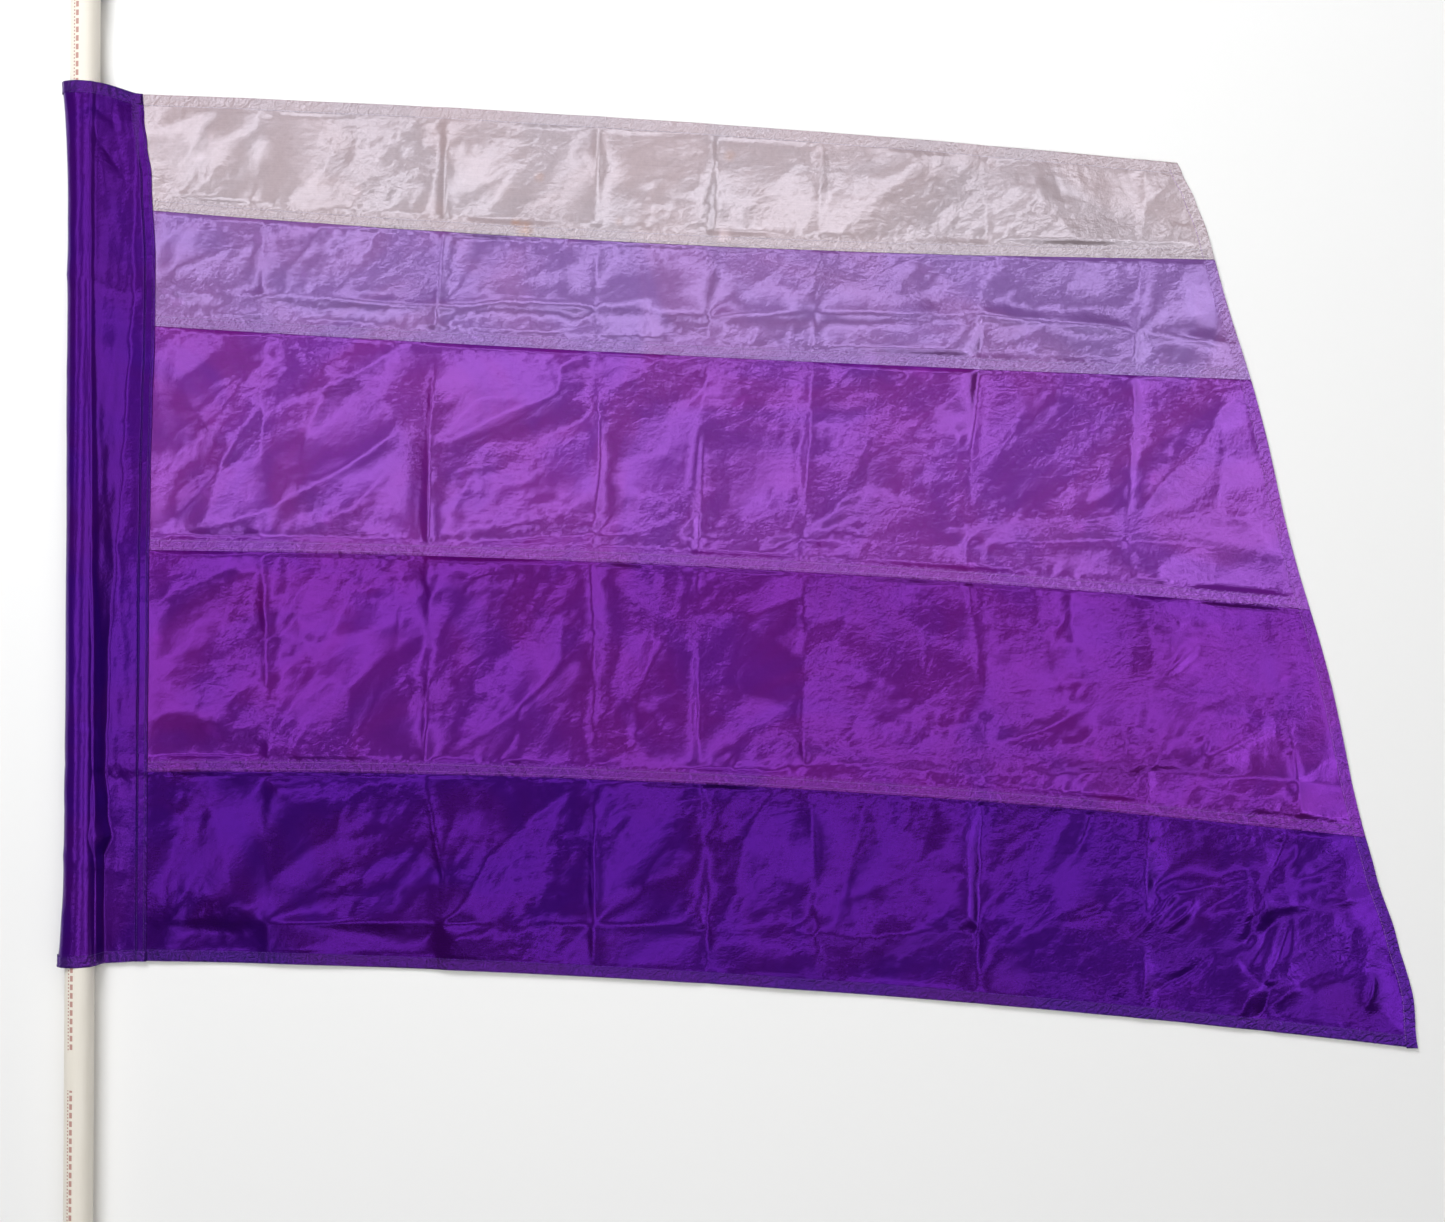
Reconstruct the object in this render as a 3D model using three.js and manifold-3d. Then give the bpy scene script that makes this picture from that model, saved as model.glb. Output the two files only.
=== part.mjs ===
// A swing flag on its pole, laid flat: a hollow plastic pole with a push-on cap at each end,
// a cloth sleeve round the pole, and a fly of five stripes sewn together with felled seams.
//
// Millimetres. +X runs from the pole to the free edge of the cloth, +Y along the pole to its
// tip, +Z up from the surface that the flag lies on. The origin is the centre of the
// underside. While the pieces are drawn, X = 0 is the pole's axis, Y = 0 is the foot of the
// fly at the sleeve, and Z = 0 is the surface. The last lines move the whole flag to the origin.

import * as THREE from 'three';
import { mergeVertices } from 'three/addons/utils/BufferGeometryUtils.js';
import Module from 'manifold-3d';

const wasm = await Module();
wasm.setup();

// ---------------------------------------------------------------- driving dimensions

const TOUCH_GAP = 0.3;            // between pieces that touch

// pole and caps
const POLE_DIAMETER = 28.6;
const POLE_WALL = 2.6;
const POLE_LENGTH = 1829;
const POLE_ABOVE_SLEEVE = 120;    // bare pole between the sleeve's head and the pole's tip
const CAP_WALL = 2;
const CAP_END = 4;                // thickness of the closed end
const CAP_GRIP = 32;              // how far a cap reaches over the pole
const CAP_EDGE = 1;               // chamfer round the closed end
const ROUND_SIDES = 48;

// sleeve
const SLEEVE_CLOTH = 0.8;
const SLEEVE_SLACK = 0.5;         // between the pole and the cloth round it
const SLEEVE_REACH = 70;          // from the pole's axis to the sleeve's sewn edge
const SLEEVE_LAP = 12;            // how far the sewn edge covers the stripes
const SLEEVE_TACK = 6;            // flat stretch where the sleeve's two layers meet
const SLEEVE_PAST_HEAD = 6;       // past the fly at the head
const SLEEVE_PAST_FOOT = 2;       // past the fly at the foot

// fly: five stripes from the head down, each with its depth at the sleeve and at the free edge
const CLOTH = 1;
const LIP = 0.35;                 // thickness of each layer where two stripes overlap
const SEAM_LAP = 12;              // width of a felled seam
const HEAD_EDGE = 1037;           // from the sleeve to the free edge, along the head
const FOOT_EDGE = 1274;           // the same along the foot
const HEAD_DROP = 63;             // how far the head's far corner lies below its near one
const FREE_EDGE_BOW = 8;          // how far the free edge swells outwards
const STRIPES = [
  { name: 'lilac', colour: '#c8bccb', atSleeve: 117, atFreeEdge: 96 },
  { name: 'lavender', colour: '#9b73bc', atSleeve: 116, atFreeEdge: 121 },
  { name: 'orchid', colour: '#8746ad', atSleeve: 226, atFreeEdge: 232 },
  { name: 'purple', colour: '#6d2697', atSleeve: 223, atFreeEdge: 229 },
  { name: 'indigo', colour: '#491387', atSleeve: 191, atFreeEdge: 212 },
];
const EDGE_BOWS = [8, -10, -4, 12, 18, 16];   // of the head, the four seams and the foot
const EDGE_STEPS = 16;

// sewing thread
const THREAD = 0.7;               // width of a row of stitches
const THREAD_RISE = 0.4;
const EDGE_STITCH = 2.5;          // from a sewn edge to the row beside it
const HEM = 11;                   // from a hemmed edge to its row
const ROW_END = 1;                // a row stops this far short of one that crosses it

// ---------------------------------------------------------------- worked out from those

const poleRadius = POLE_DIAMETER / 2;
const capBore = poleRadius + TOUCH_GAP;
const capRadius = capBore + CAP_WALL;
const axisHeight = capRadius;     // the caps and the cloth all lie on the surface

const wrapInner = poleRadius + SLEEVE_SLACK;
const wrapOuter = wrapInner + SLEEVE_CLOTH;
const clothEdge = SLEEVE_REACH - SLEEVE_LAP;  // where the stripes begin, under the sleeve

const depthAtSleeve = STRIPES.reduce((sum, stripe) => sum + stripe.atSleeve, 0);
const sleeveHead = depthAtSleeve + SLEEVE_PAST_HEAD;
const sleeveFoot = -SLEEVE_PAST_FOOT;
const poleTip = sleeveHead + POLE_ABOVE_SLEEVE;
const poleButt = poleTip - POLE_LENGTH;

// rows[0] is the head's edge, rows[1] to rows[4] the seams, rows[5] the foot's edge
const rows = [{ near: depthAtSleeve, far: depthAtSleeve - HEAD_DROP, bow: EDGE_BOWS[0] }];
STRIPES.forEach((stripe, i) => {
  const above = rows[i];
  rows.push({ near: above.near - stripe.atSleeve, far: above.far - stripe.atFreeEdge, bow: EDGE_BOWS[i + 1] });
});
const headRow = rows[0];
const footRow = rows[rows.length - 1];

// x of the free edge at height y: a straight slant from head to foot, swollen by a parabola
function freeEdge(y) {
  const s = (headRow.far - y) / (headRow.far - footRow.far);
  return SLEEVE_REACH + HEAD_EDGE + (FOOT_EDGE - HEAD_EDGE) * s + FREE_EDGE_BOW * 4 * s * (1 - s);
}

// y of a row at x: a straight line from the sleeve to the free edge, bowed by a parabola
function rowHeight(row, x) {
  const t = (x - SLEEVE_REACH) / (freeEdge(row.far) - SLEEVE_REACH);
  return row.near + (row.far - row.near) * t + row.bow * 4 * t * (1 - t);
}

// ---------------------------------------------------------------- geometry helpers

const group = new THREE.Group();

function addPiece(name, geometry, colour, roughness) {
  const material = new THREE.MeshStandardMaterial({ color: colour, roughness, metalness: 0 });
  const mesh = new THREE.Mesh(geometry, material);
  mesh.name = name;
  group.add(mesh);
  return mesh;
}

function solidOf(geometry) {
  const bare = geometry.clone();
  bare.deleteAttribute('normal');
  bare.deleteAttribute('uv');
  const merged = mergeVertices(bare, 1e-4);
  return new wasm.Manifold(new wasm.Mesh({
    numProp: 3,
    vertProperties: new Float32Array(merged.attributes.position.array),
    triVerts: new Uint32Array(merged.index.array),
  }));
}

function geometryOf(solid) {
  const mesh = solid.getMesh();
  const geometry = new THREE.BufferGeometry();
  geometry.setAttribute('position', new THREE.BufferAttribute(new Float32Array(mesh.vertProperties), 3));
  geometry.setIndex(new THREE.BufferAttribute(new Uint32Array(mesh.triVerts), 1));
  return geometry;
}

// a flat piece with the given outline in X and Y, from height low to height high
function slab(outline, low, high) {
  const shape = new THREE.Shape(outline);
  return new THREE.ExtrudeGeometry(shape, { depth: high - low, bevelEnabled: false }).translate(0, 0, low);
}

// an outline in X and Z carried along Y from foot to head
function carriedAlongPole(outline, foot, head) {
  const shape = new THREE.Shape(outline);
  const geometry = new THREE.ExtrudeGeometry(shape, { depth: head - foot, bevelEnabled: false });
  return geometry.rotateX(Math.PI / 2).translate(0, head, 0);
}

// points along a row, shifted by rise, from x = start to x = end
function alongRow(row, rise, start, end) {
  return Array.from({ length: EDGE_STEPS + 1 }, (_, i) => {
    const x = start + (end - start) * i / EDGE_STEPS;
    return new THREE.Vector2(x, rowHeight(row, x) + rise);
  });
}

// points down the free edge, shifted inwards, from y = head to y = foot
function alongFreeEdge(inset, head, foot) {
  return Array.from({ length: EDGE_STEPS + 1 }, (_, i) => {
    const y = head + (foot - head) * i / EDGE_STEPS;
    return new THREE.Vector2(freeEdge(y) - inset, y);
  });
}

// ---------------------------------------------------------------- pole and caps

function poleTube() {
  const inner = poleRadius - POLE_WALL;
  const profile = [
    [inner, poleButt], [poleRadius, poleButt], [poleRadius, poleTip], [inner, poleTip], [inner, poleButt],
  ].map(([r, y]) => new THREE.Vector2(r, y));
  return new THREE.LatheGeometry(profile, ROUND_SIDES);
}

// a cup whose closed end points along +Y, with Y = 0 at the end of the pole
function capCup() {
  const seat = TOUCH_GAP;
  const end = seat + CAP_END;
  const profile = [
    [0, seat], [capBore, seat], [capBore, -CAP_GRIP], [capRadius, -CAP_GRIP],
    [capRadius, end - CAP_EDGE], [capRadius - CAP_EDGE, end], [0, end],
  ].map(([r, y]) => new THREE.Vector2(r, y));
  return new THREE.LatheGeometry(profile, ROUND_SIDES);
}

addPiece('pole_tube', poleTube(), '#e9dfc8', 0.35).position.z = axisHeight;

const tipCap = addPiece('tip_cap', capCup(), '#1c1c1e', 0.55);
tipCap.position.set(0, poleTip, axisHeight);

const buttCap = addPiece('butt_cap', capCup(), '#1c1c1e', 0.55);
buttCap.position.set(0, poleButt, axisHeight);
buttCap.rotation.z = Math.PI;

// ---------------------------------------------------------------- sleeve

const SLEEVE_COLOUR = '#4b1489';

function sleeveWrap() {
  const profile = [
    [wrapInner, sleeveFoot], [wrapOuter, sleeveFoot], [wrapOuter, sleeveHead],
    [wrapInner, sleeveHead], [wrapInner, sleeveFoot],
  ].map(([r, y]) => new THREE.Vector2(r, y));
  return new THREE.LatheGeometry(profile, ROUND_SIDES);
}

// The web is the sleeve from the pole to its sewn edge. Its lower layer lies on the surface.
// Its upper layer leaves the wrap on a tangent, comes down to the lower one, and laps over
// the stripes. lapLow and lapHigh are the heights of that lap.
const lapLow = CLOTH + TOUCH_GAP;
const lapHigh = lapLow + SLEEVE_CLOTH;
const tackEnd = clothEdge - TOUCH_GAP;
const tackStart = tackEnd - SLEEVE_TACK;
const webInner = wrapOuter + TOUCH_GAP;
const webOuter = webInner + SLEEVE_CLOTH;

// the upper layer's outer line runs from (tackStart, lapHigh) to its tangent point on webOuter
const tackDistance = Math.hypot(tackStart, axisHeight - lapHigh);
const tangentAngle = Math.acos(webOuter / tackDistance) - Math.atan2(axisHeight - lapHigh, tackStart);
const layerAcross = [Math.cos(tangentAngle), Math.sin(tangentAngle)];
const layerDown = [Math.sin(tangentAngle), -Math.cos(tangentAngle)];

// a point of the upper layer: its distance from the pole's axis, and its distance down the slope
function upperLayerPoint(radius, down) {
  return new THREE.Vector2(
    layerAcross[0] * radius + layerDown[0] * down,
    axisHeight + layerAcross[1] * radius + layerDown[1] * down,
  );
}
const slopeLength = Math.sqrt(tackDistance ** 2 - webOuter ** 2);

function sleeveWeb() {
  const floorStart = Math.sqrt(Math.max(webInner ** 2 - (axisHeight - SLEEVE_CLOTH) ** 2, 0)) + TOUCH_GAP;
  const innerDown = (axisHeight - SLEEVE_CLOTH + layerAcross[1] * webInner) / -layerDown[1];
  const outline = [
    new THREE.Vector2(floorStart, 0),
    new THREE.Vector2(tackEnd, 0),
    new THREE.Vector2(tackEnd, lapLow),
    new THREE.Vector2(SLEEVE_REACH, lapLow),
    new THREE.Vector2(SLEEVE_REACH, lapHigh),
    upperLayerPoint(webOuter, slopeLength),
    upperLayerPoint(webOuter, 0),
    upperLayerPoint(webInner, 0),
    upperLayerPoint(webInner, innerDown),
    new THREE.Vector2(floorStart, SLEEVE_CLOTH),
  ];
  return carriedAlongPole(outline, sleeveFoot, sleeveHead);
}

addPiece('sleeve_wrap', sleeveWrap(), SLEEVE_COLOUR, 0.45).position.z = axisHeight;
addPiece('sleeve_web', sleeveWeb(), SLEEVE_COLOUR, 0.45);

// ---------------------------------------------------------------- fly

// the whole fly as one flat outline, from the sleeve to the free edge
function flyOutline() {
  return [
    ...alongRow(headRow, 0, clothEdge, freeEdge(headRow.far)).slice(0, -1),
    ...alongFreeEdge(0, headRow.far, footRow.far).slice(0, -1),
    ...alongRow(footRow, 0, clothEdge, freeEdge(footRow.far)).reverse(),
  ];
}

// everything between two rows, each shifted, and running past both ends of the fly
function band(upper, upperRise, lower, lowerRise, low, high) {
  const start = clothEdge - SLEEVE_LAP;
  const end = SLEEVE_REACH + Math.max(HEAD_EDGE, FOOT_EDGE) + SEAM_LAP;
  const outline = [
    ...alongRow(upper, upperRise, start, end),
    ...alongRow(lower, lowerRise, start, end).reverse(),
  ];
  return solidOf(slab(outline, low, high));
}

// A stripe reaches down to the seam below it as a lip on top, and up under the stripe above
// it as a lip below, so that the two layers of each felled seam lie on each other. Each cut
// that leaves a lip runs CUT_PAST beyond the stripe's own edge.
const CUT_PAST = 1;

function stripePanel(i) {
  const above = rows[i];
  const below = rows[i + 1];
  const first = i === 0;
  const last = i === STRIPES.length - 1;
  const spare = SEAM_LAP + TOUCH_GAP;
  let panel = band(above, SEAM_LAP, below, last ? -SEAM_LAP : 0, 0, CLOTH);
  panel = panel.intersect(solidOf(slab(flyOutline(), -CLOTH, 2 * CLOTH)));
  if (!first) {
    panel = panel.subtract(band(above, spare + CUT_PAST, above, -TOUCH_GAP, LIP, 2 * CLOTH));
  }
  if (!last) {
    panel = panel.subtract(band(below, spare, below, -CUT_PAST, -CLOTH, CLOTH - LIP));
  }
  return geometryOf(panel);
}

STRIPES.forEach((stripe, i) => {
  addPiece(`${stripe.name}_panel`, stripePanel(i), stripe.colour, 0.45);
});

// ---------------------------------------------------------------- sewing thread

const threadLow = CLOTH + TOUCH_GAP;
const threadHigh = threadLow + THREAD_RISE;
const rowStart = SLEEVE_REACH + ROW_END;

// a row of stitches along a row line, shifted by rise, stopping short of the free edge's row
function threadAlongRow(row, rise) {
  const end = freeEdge(row.far + rise) - HEM - THREAD - ROW_END;
  const outline = [
    ...alongRow(row, rise + THREAD / 2, rowStart, end),
    ...alongRow(row, rise - THREAD / 2, rowStart, end).reverse(),
  ];
  return slab(outline, threadLow, threadHigh);
}

function threadDownFreeEdge() {
  const head = headRow.far - HEM / 2;
  const foot = footRow.far + HEM / 2;
  const outline = [
    ...alongFreeEdge(HEM - THREAD / 2, head, foot),
    ...alongFreeEdge(HEM + THREAD / 2, head, foot).reverse(),
  ];
  return slab(outline, threadLow, threadHigh);
}

// the row that sews the sleeve to the stripes, on top of the lap
function threadDownSleeve(inset) {
  const x = SLEEVE_REACH - inset;
  const outline = [
    new THREE.Vector2(x - THREAD / 2, sleeveFoot + HEM / 2),
    new THREE.Vector2(x + THREAD / 2, sleeveFoot + HEM / 2),
    new THREE.Vector2(x + THREAD / 2, sleeveHead - HEM / 2),
    new THREE.Vector2(x - THREAD / 2, sleeveHead - HEM / 2),
  ];
  return slab(outline, lapHigh + TOUCH_GAP, lapHigh + TOUCH_GAP + THREAD_RISE);
}

// the short row across the sleeve's upper layer, in the hem of its open head or foot
function threadAcrossSleeve(y) {
  const low = webOuter + TOUCH_GAP;
  const outline = [
    upperLayerPoint(low, slopeLength - ROW_END),
    upperLayerPoint(low + THREAD_RISE, slopeLength - ROW_END),
    upperLayerPoint(low + THREAD_RISE, ROW_END),
    upperLayerPoint(low, ROW_END),
  ];
  return carriedAlongPole(outline, y - THREAD / 2, y + THREAD / 2);
}

const seams = rows.slice(1, -1);
seams.forEach((row, i) => {
  const names = `${STRIPES[i].name}_${STRIPES[i + 1].name}`;
  const colour = STRIPES[i].colour;
  addPiece(`${names}_seam_edge_thread`, threadAlongRow(row, EDGE_STITCH), colour, 0.5);
  addPiece(`${names}_seam_fell_thread`, threadAlongRow(row, SEAM_LAP - EDGE_STITCH), colour, 0.5);
});
addPiece('head_hem_thread', threadAlongRow(headRow, -HEM), STRIPES[0].colour, 0.5);
addPiece('foot_hem_thread', threadAlongRow(footRow, HEM), STRIPES[STRIPES.length - 1].colour, 0.5);
addPiece('free_edge_hem_thread', threadDownFreeEdge(), STRIPES[2].colour, 0.5);
addPiece('sleeve_edge_thread', threadDownSleeve(EDGE_STITCH), SLEEVE_COLOUR, 0.5);
addPiece('sleeve_lap_thread', threadDownSleeve(SLEEVE_LAP - EDGE_STITCH), SLEEVE_COLOUR, 0.5);
addPiece('sleeve_head_hem_thread', threadAcrossSleeve(sleeveHead - HEM), SLEEVE_COLOUR, 0.5);
addPiece('sleeve_foot_hem_thread', threadAcrossSleeve(sleeveFoot + HEM), SLEEVE_COLOUR, 0.5);

// ---------------------------------------------------------------- to the origin

const capReach = TOUCH_GAP + CAP_END;
const lowY = Math.min(poleButt - capReach, footRow.far);
const highY = poleTip + capReach;
const highX = freeEdge(footRow.far);
group.position.set((capRadius - highX) / 2, -(lowY + highY) / 2, 0);

export default group;
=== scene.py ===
# %% [markdown]
# A swing flag, laid flat: five stripes of thin polyester lining cloth, felled together, with a
# cloth sleeve that turns on a plastic pole. The CAD frame gives every size and place, so the
# first cell loads it and keeps its box, which the cloth must stay near.

# %% Load the frame
import math

import bmesh
import bpy
import numpy as np
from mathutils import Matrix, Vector


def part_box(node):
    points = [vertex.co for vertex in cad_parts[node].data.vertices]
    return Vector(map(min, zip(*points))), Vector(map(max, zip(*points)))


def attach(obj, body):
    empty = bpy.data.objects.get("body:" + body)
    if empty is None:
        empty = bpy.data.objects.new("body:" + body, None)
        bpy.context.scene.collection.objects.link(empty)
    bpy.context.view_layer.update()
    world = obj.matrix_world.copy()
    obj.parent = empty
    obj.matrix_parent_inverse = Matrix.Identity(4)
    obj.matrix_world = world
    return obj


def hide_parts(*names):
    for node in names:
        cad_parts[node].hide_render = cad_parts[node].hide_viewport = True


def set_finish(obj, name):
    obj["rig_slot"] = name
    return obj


MM = 0.001
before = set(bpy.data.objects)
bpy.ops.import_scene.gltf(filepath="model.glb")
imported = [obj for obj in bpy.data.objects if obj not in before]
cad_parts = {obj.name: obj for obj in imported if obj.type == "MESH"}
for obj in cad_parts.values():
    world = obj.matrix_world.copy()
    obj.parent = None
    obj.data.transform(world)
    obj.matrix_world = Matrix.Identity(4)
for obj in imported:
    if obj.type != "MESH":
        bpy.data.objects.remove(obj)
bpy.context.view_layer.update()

# %% [markdown]
# The pole and the rows of stitches already lie where they should, so the lines of the cloth
# are read from them. A row of stitches runs a fixed distance inside the edge that it sews.
# Every row was drawn as a parabola, so fitting a parabola to its corners gives it back exactly.

# %% Lines of the cloth, read from the frame
EDGE_STITCH = 2.5 * MM      # from a sewn edge to the row beside it
HEM = 11 * MM               # from a hemmed edge to its row
SEAM_LAP = 12 * MM          # width of a felled seam
STRIPES = ["lilac", "lavender", "orchid", "purple", "indigo"]
SEAMS = [f"{a}_{b}_seam" for a, b in zip(STRIPES, STRIPES[1:])]


def corners_of(node):
    """All vertices of a CAD node as an (n, 3) array of metres."""
    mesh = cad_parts[node].data
    co = np.empty(len(mesh.vertices) * 3, np.float32)
    mesh.vertices.foreach_get("co", co)
    return co.reshape(-1, 3).astype(float)


def parabola(along, across, shift):
    """across = a*along^2 + b*along + c through a row of stitches, then moved by shift."""
    fit = np.polyfit(along, across, 2)
    fit[-1] += shift
    return fit


def row_parabola(node, shift):
    co = corners_of(node)
    return parabola(co[:, 0], co[:, 1], shift)


pole_low, pole_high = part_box("pole_tube")
POLE_X = (pole_low.x + pole_high.x) / 2
AXIS_Z = (pole_low.z + pole_high.z) / 2
POLE_R = (pole_high.x - pole_low.x) / 2

rows = [row_parabola("head_hem_thread", HEM)]
rows += [row_parabola(f"{seam}_edge_thread", -EDGE_STITCH) for seam in SEAMS]
rows += [row_parabola("foot_hem_thread", -HEM)]
free_row = corners_of("free_edge_hem_thread")
free_edge = parabola(free_row[:, 1], free_row[:, 0], HEM)

SEWN_X = POLE_X + 70 * MM       # about where the sleeve ends and the stripes begin
MIDDLE_X = POLE_X + 600 * MM
FAR_X = POLE_X + 1100 * MM

# height above the foot, and how far the free edge is moved out there, in mm
FREE_WANDER = np.array([(-110, 0), (-80, 1), (-23, 8), (32, 5), (93, -1), (160, -3), (300, 1),
                        (430, -3), (560, 2), (690, -1), (745, 0), (775, -3), (800, -8),
                        (830, -14)], float)


def eased(table, y):
    """The second column of a table at the height y above the foot, whose first column is in mm.
    Between two rows it runs a*(1-t) + b*t, where t is smoothed to t*t*(3 - 2t)."""
    v = (y - np.polyval(rows[-1], SEWN_X)) / MM
    i = np.clip(np.searchsorted(table[:, 0], v) - 1, 0, len(table) - 2)
    t = np.clip((v - table[i, 0]) / (table[i + 1, 0] - table[i, 0]), 0, 1)
    t = t * t * (3 - 2 * t)
    return (table[i, 1] * (1 - t) + table[i + 1, 1] * t) * MM


def free_x_at(y):
    """x of the free edge: its parabola, and a wander of a few mm that swells at the lower corner
    and rounds off the upper one."""
    return np.polyval(free_edge, y) + eased(FREE_WANDER, y)


sleeve_low, sleeve_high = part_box("sleeve_web")
SLEEVE_REACH = sleeve_high.x - POLE_X
FOOT_Y = np.polyval(rows[-1], POLE_X + SLEEVE_REACH)
HEAD_Y = np.polyval(rows[0], POLE_X + SLEEVE_REACH)
print(f"pole radius {POLE_R / MM:.1f} mm, fly {1000 * (HEAD_Y - FOOT_Y):.0f} mm deep at the sleeve")


# height above the foot, and how far the sewn edge is from the pole's axis, in mm
SEWN_REACH = np.array([(-10, 62), (40, 63), (370, 63.4), (490, 64), (560, 65.5), (620, 67.3),
                       (700, 68), (790, 63.5), (823, 59), (853, 55.5), (885, 53)], float)


def sewn_edge(y):
    """x of the sleeve's sewn edge, which is pulled out above the middle and in at the head."""
    return POLE_X + eased(SEWN_REACH, y)


# %% [markdown]
# The camera hangs straight above the cloth, turned by a third of a degree so that the pole leans
# as it would in a hand-held view. Its lens follows from the width of floor that it has to see.
# Thin shiny cloth shows its folds by what it mirrors, so the light comes in three parts: a window
# for plain daylight, which the gloss doesn't mirror, four slanting strips over the cloth, which it
# does, and a card at its side for the steep sides of the folds and of the sleeve.

# %% Camera, floor and lights
VIEW_WIDTH = 1.4594
VIEW_TILT = math.radians(0.36)
VIEW_CENTRE = (POLE_X + 641.3 * MM, FOOT_Y + 356.3 * MM)
CAMERA_HEIGHT = 1.9
SENSOR = 36.0

camera_data = bpy.data.cameras.new("camera")
camera_data.sensor_width = SENSOR
camera_data.lens = SENSOR * CAMERA_HEIGHT / VIEW_WIDTH
camera = bpy.data.objects.new("camera", camera_data)
camera.location = (VIEW_CENTRE[0], VIEW_CENTRE[1], CAMERA_HEIGHT)
camera.rotation_euler = (0, 0, VIEW_TILT)


def link(obj):
    bpy.context.scene.collection.objects.link(obj)
    return obj


bpy.context.scene.camera = link(camera)


def new_material(name):
    """An empty material with its Principled shader, ready for sockets to be set."""
    material = bpy.data.materials.new(name)
    material.use_nodes = True
    tree = material.node_tree
    return material, tree, tree.nodes["Principled BSDF"]


def area_light(name, place, target, size, power, colour, roll=0.0):
    """A rectangular lamp at place that points at target, turned by roll about its own axis."""
    data = bpy.data.lights.new(name, "AREA")
    data.shape = "RECTANGLE"
    data.size, data.size_y = size
    data.energy = power
    data.color = colour
    lamp = bpy.data.objects.new(name, data)
    lamp.location = place
    lamp.rotation_euler = (Vector(target) - Vector(place)).to_track_quat("-Z", "Y").to_euler()
    lamp.rotation_euler.rotate_axis("Z", roll)
    lamp.visible_camera = False
    return link(lamp)


floor_mesh = bpy.data.meshes.new("floor")
FLOOR_HALF = 6.0
FLOOR_DROP = 0.3 * MM       # keeps the floor clear of the cloth's underside
floor_mesh.from_pydata([(sx * FLOOR_HALF, sy * FLOOR_HALF, -FLOOR_DROP)
                        for sx, sy in ((-1, -1), (1, -1), (1, 1), (-1, 1))], [], [(0, 1, 2, 3)])
floor = link(bpy.data.objects.new("floor", floor_mesh))
floor_material, _, shader = new_material("pale_floor")
shader.inputs["Base Color"].default_value = (0.86, 0.85, 0.83, 1)
shader.inputs["Roughness"].default_value = 0.9
floor_mesh.materials.append(floor_material)

middle = (VIEW_CENTRE[0], VIEW_CENTRE[1], 0)
DAYLIGHT = (0.95, 0.97, 1.0)
PAPER_WHITE = (0.97, 0.98, 1.0)
window = area_light("window", (-1.2, 2.9, 2.0), middle, (1.6, 1.2), 112, DAYLIGHT)
window.visible_glossy = False
STRIP_ANGLE = math.radians(35)
STRIP_HEIGHT = 2.4
STRIP_SIZE = (3.6, 0.42)
STRIP_POWER = 15
for i, offset in enumerate((-1.8, -0.6, 0.6, 1.8)):
    across = (-math.sin(STRIP_ANGLE) * offset, math.cos(STRIP_ANGLE) * offset)
    place = (middle[0] + across[0], middle[1] + across[1], STRIP_HEIGHT)
    below = (place[0], place[1], 0)
    area_light(f"ceiling_strip_{i + 1}", place, below, STRIP_SIZE, STRIP_POWER, PAPER_WHITE,
               STRIP_ANGLE)
beside_pole = (POLE_X + 0.05, 0.35, 0)
side_card = area_light("side_card", (1.9, 0.4, 1.7), beside_pole, (2.4, 1.2), 17, PAPER_WHITE)
side_card.visible_diffuse = False
world = bpy.data.worlds.new("studio")
world.use_nodes = True
world.node_tree.nodes["Background"].inputs["Color"].default_value = (1.0, 0.99, 0.98, 1)
world.node_tree.nodes["Background"].inputs["Strength"].default_value = 0.14
bpy.context.scene.world = world
bpy.context.scene.view_settings.view_transform = "Standard"
print("camera", [round(v, 3) for v in camera.location], "lens", round(camera_data.lens, 2))

# %% [markdown]
# Every piece here is a grid: an array of points with one row for each step across the piece and
# one column for each step along it. One function turns such an array into a mesh with a UV map
# in metres of cloth, so that a weave can follow the surface.

# %% From a grid of points to a mesh


def grid_faces(rows_n, cols_n, close_rows=False, close_cols=False):
    """Quads of a grid, wound so that they face up where columns run along +X and rows along +Y."""
    r = np.arange(rows_n if close_rows else rows_n - 1)
    c = np.arange(cols_n if close_cols else cols_n - 1)
    r, c = np.meshgrid(r, c, indexing="ij")
    r2, c2 = (r + 1) % rows_n, (c + 1) % cols_n
    quads = np.stack([r * cols_n + c, r * cols_n + c2, r2 * cols_n + c2, r2 * cols_n + c], -1)
    return quads.reshape(-1, 4)


def mesh_from(name, points, faces, uv=None):
    """A smooth mesh from (n, 3) points and (m, 4) or (m, 3) faces, with a UV for each point."""
    mesh = bpy.data.meshes.new(name)
    count, corners = len(faces), faces.shape[1]
    mesh.vertices.add(len(points))
    mesh.vertices.foreach_set("co", np.ascontiguousarray(points, np.float32).ravel())
    mesh.loops.add(count * corners)
    mesh.loops.foreach_set("vertex_index", faces.astype(np.int32).ravel())
    mesh.polygons.add(count)
    mesh.polygons.foreach_set("loop_start", np.arange(0, count * corners, corners, dtype=np.int32))
    mesh.polygons.foreach_set("use_smooth", np.ones(count, bool))
    if uv is not None:
        layer = mesh.uv_layers.new(name="cloth")
        layer.data.foreach_set("uv", uv[faces.ravel()].astype(np.float32).ravel())
    mesh.update(calc_edges=True)
    mesh.validate()
    return link(bpy.data.objects.new(name, mesh))


def add_attribute(obj, name, values):
    layer = obj.data.attributes.new(name, "FLOAT", "POINT")
    layer.data.foreach_set("value", np.ascontiguousarray(values, np.float32).ravel())


# %% [markdown]
# The cloth is thin and stiff, and it was stored folded, so it lies as nearly flat facets that
# meet in sharp folds. All of its relief is worked out once, as a map of heights over the floor,
# and each piece then reads its height from that map. So neighbouring stripes always agree.
# The map is drawn in millimetres from the pole's axis and from the foot of the fly.

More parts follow.
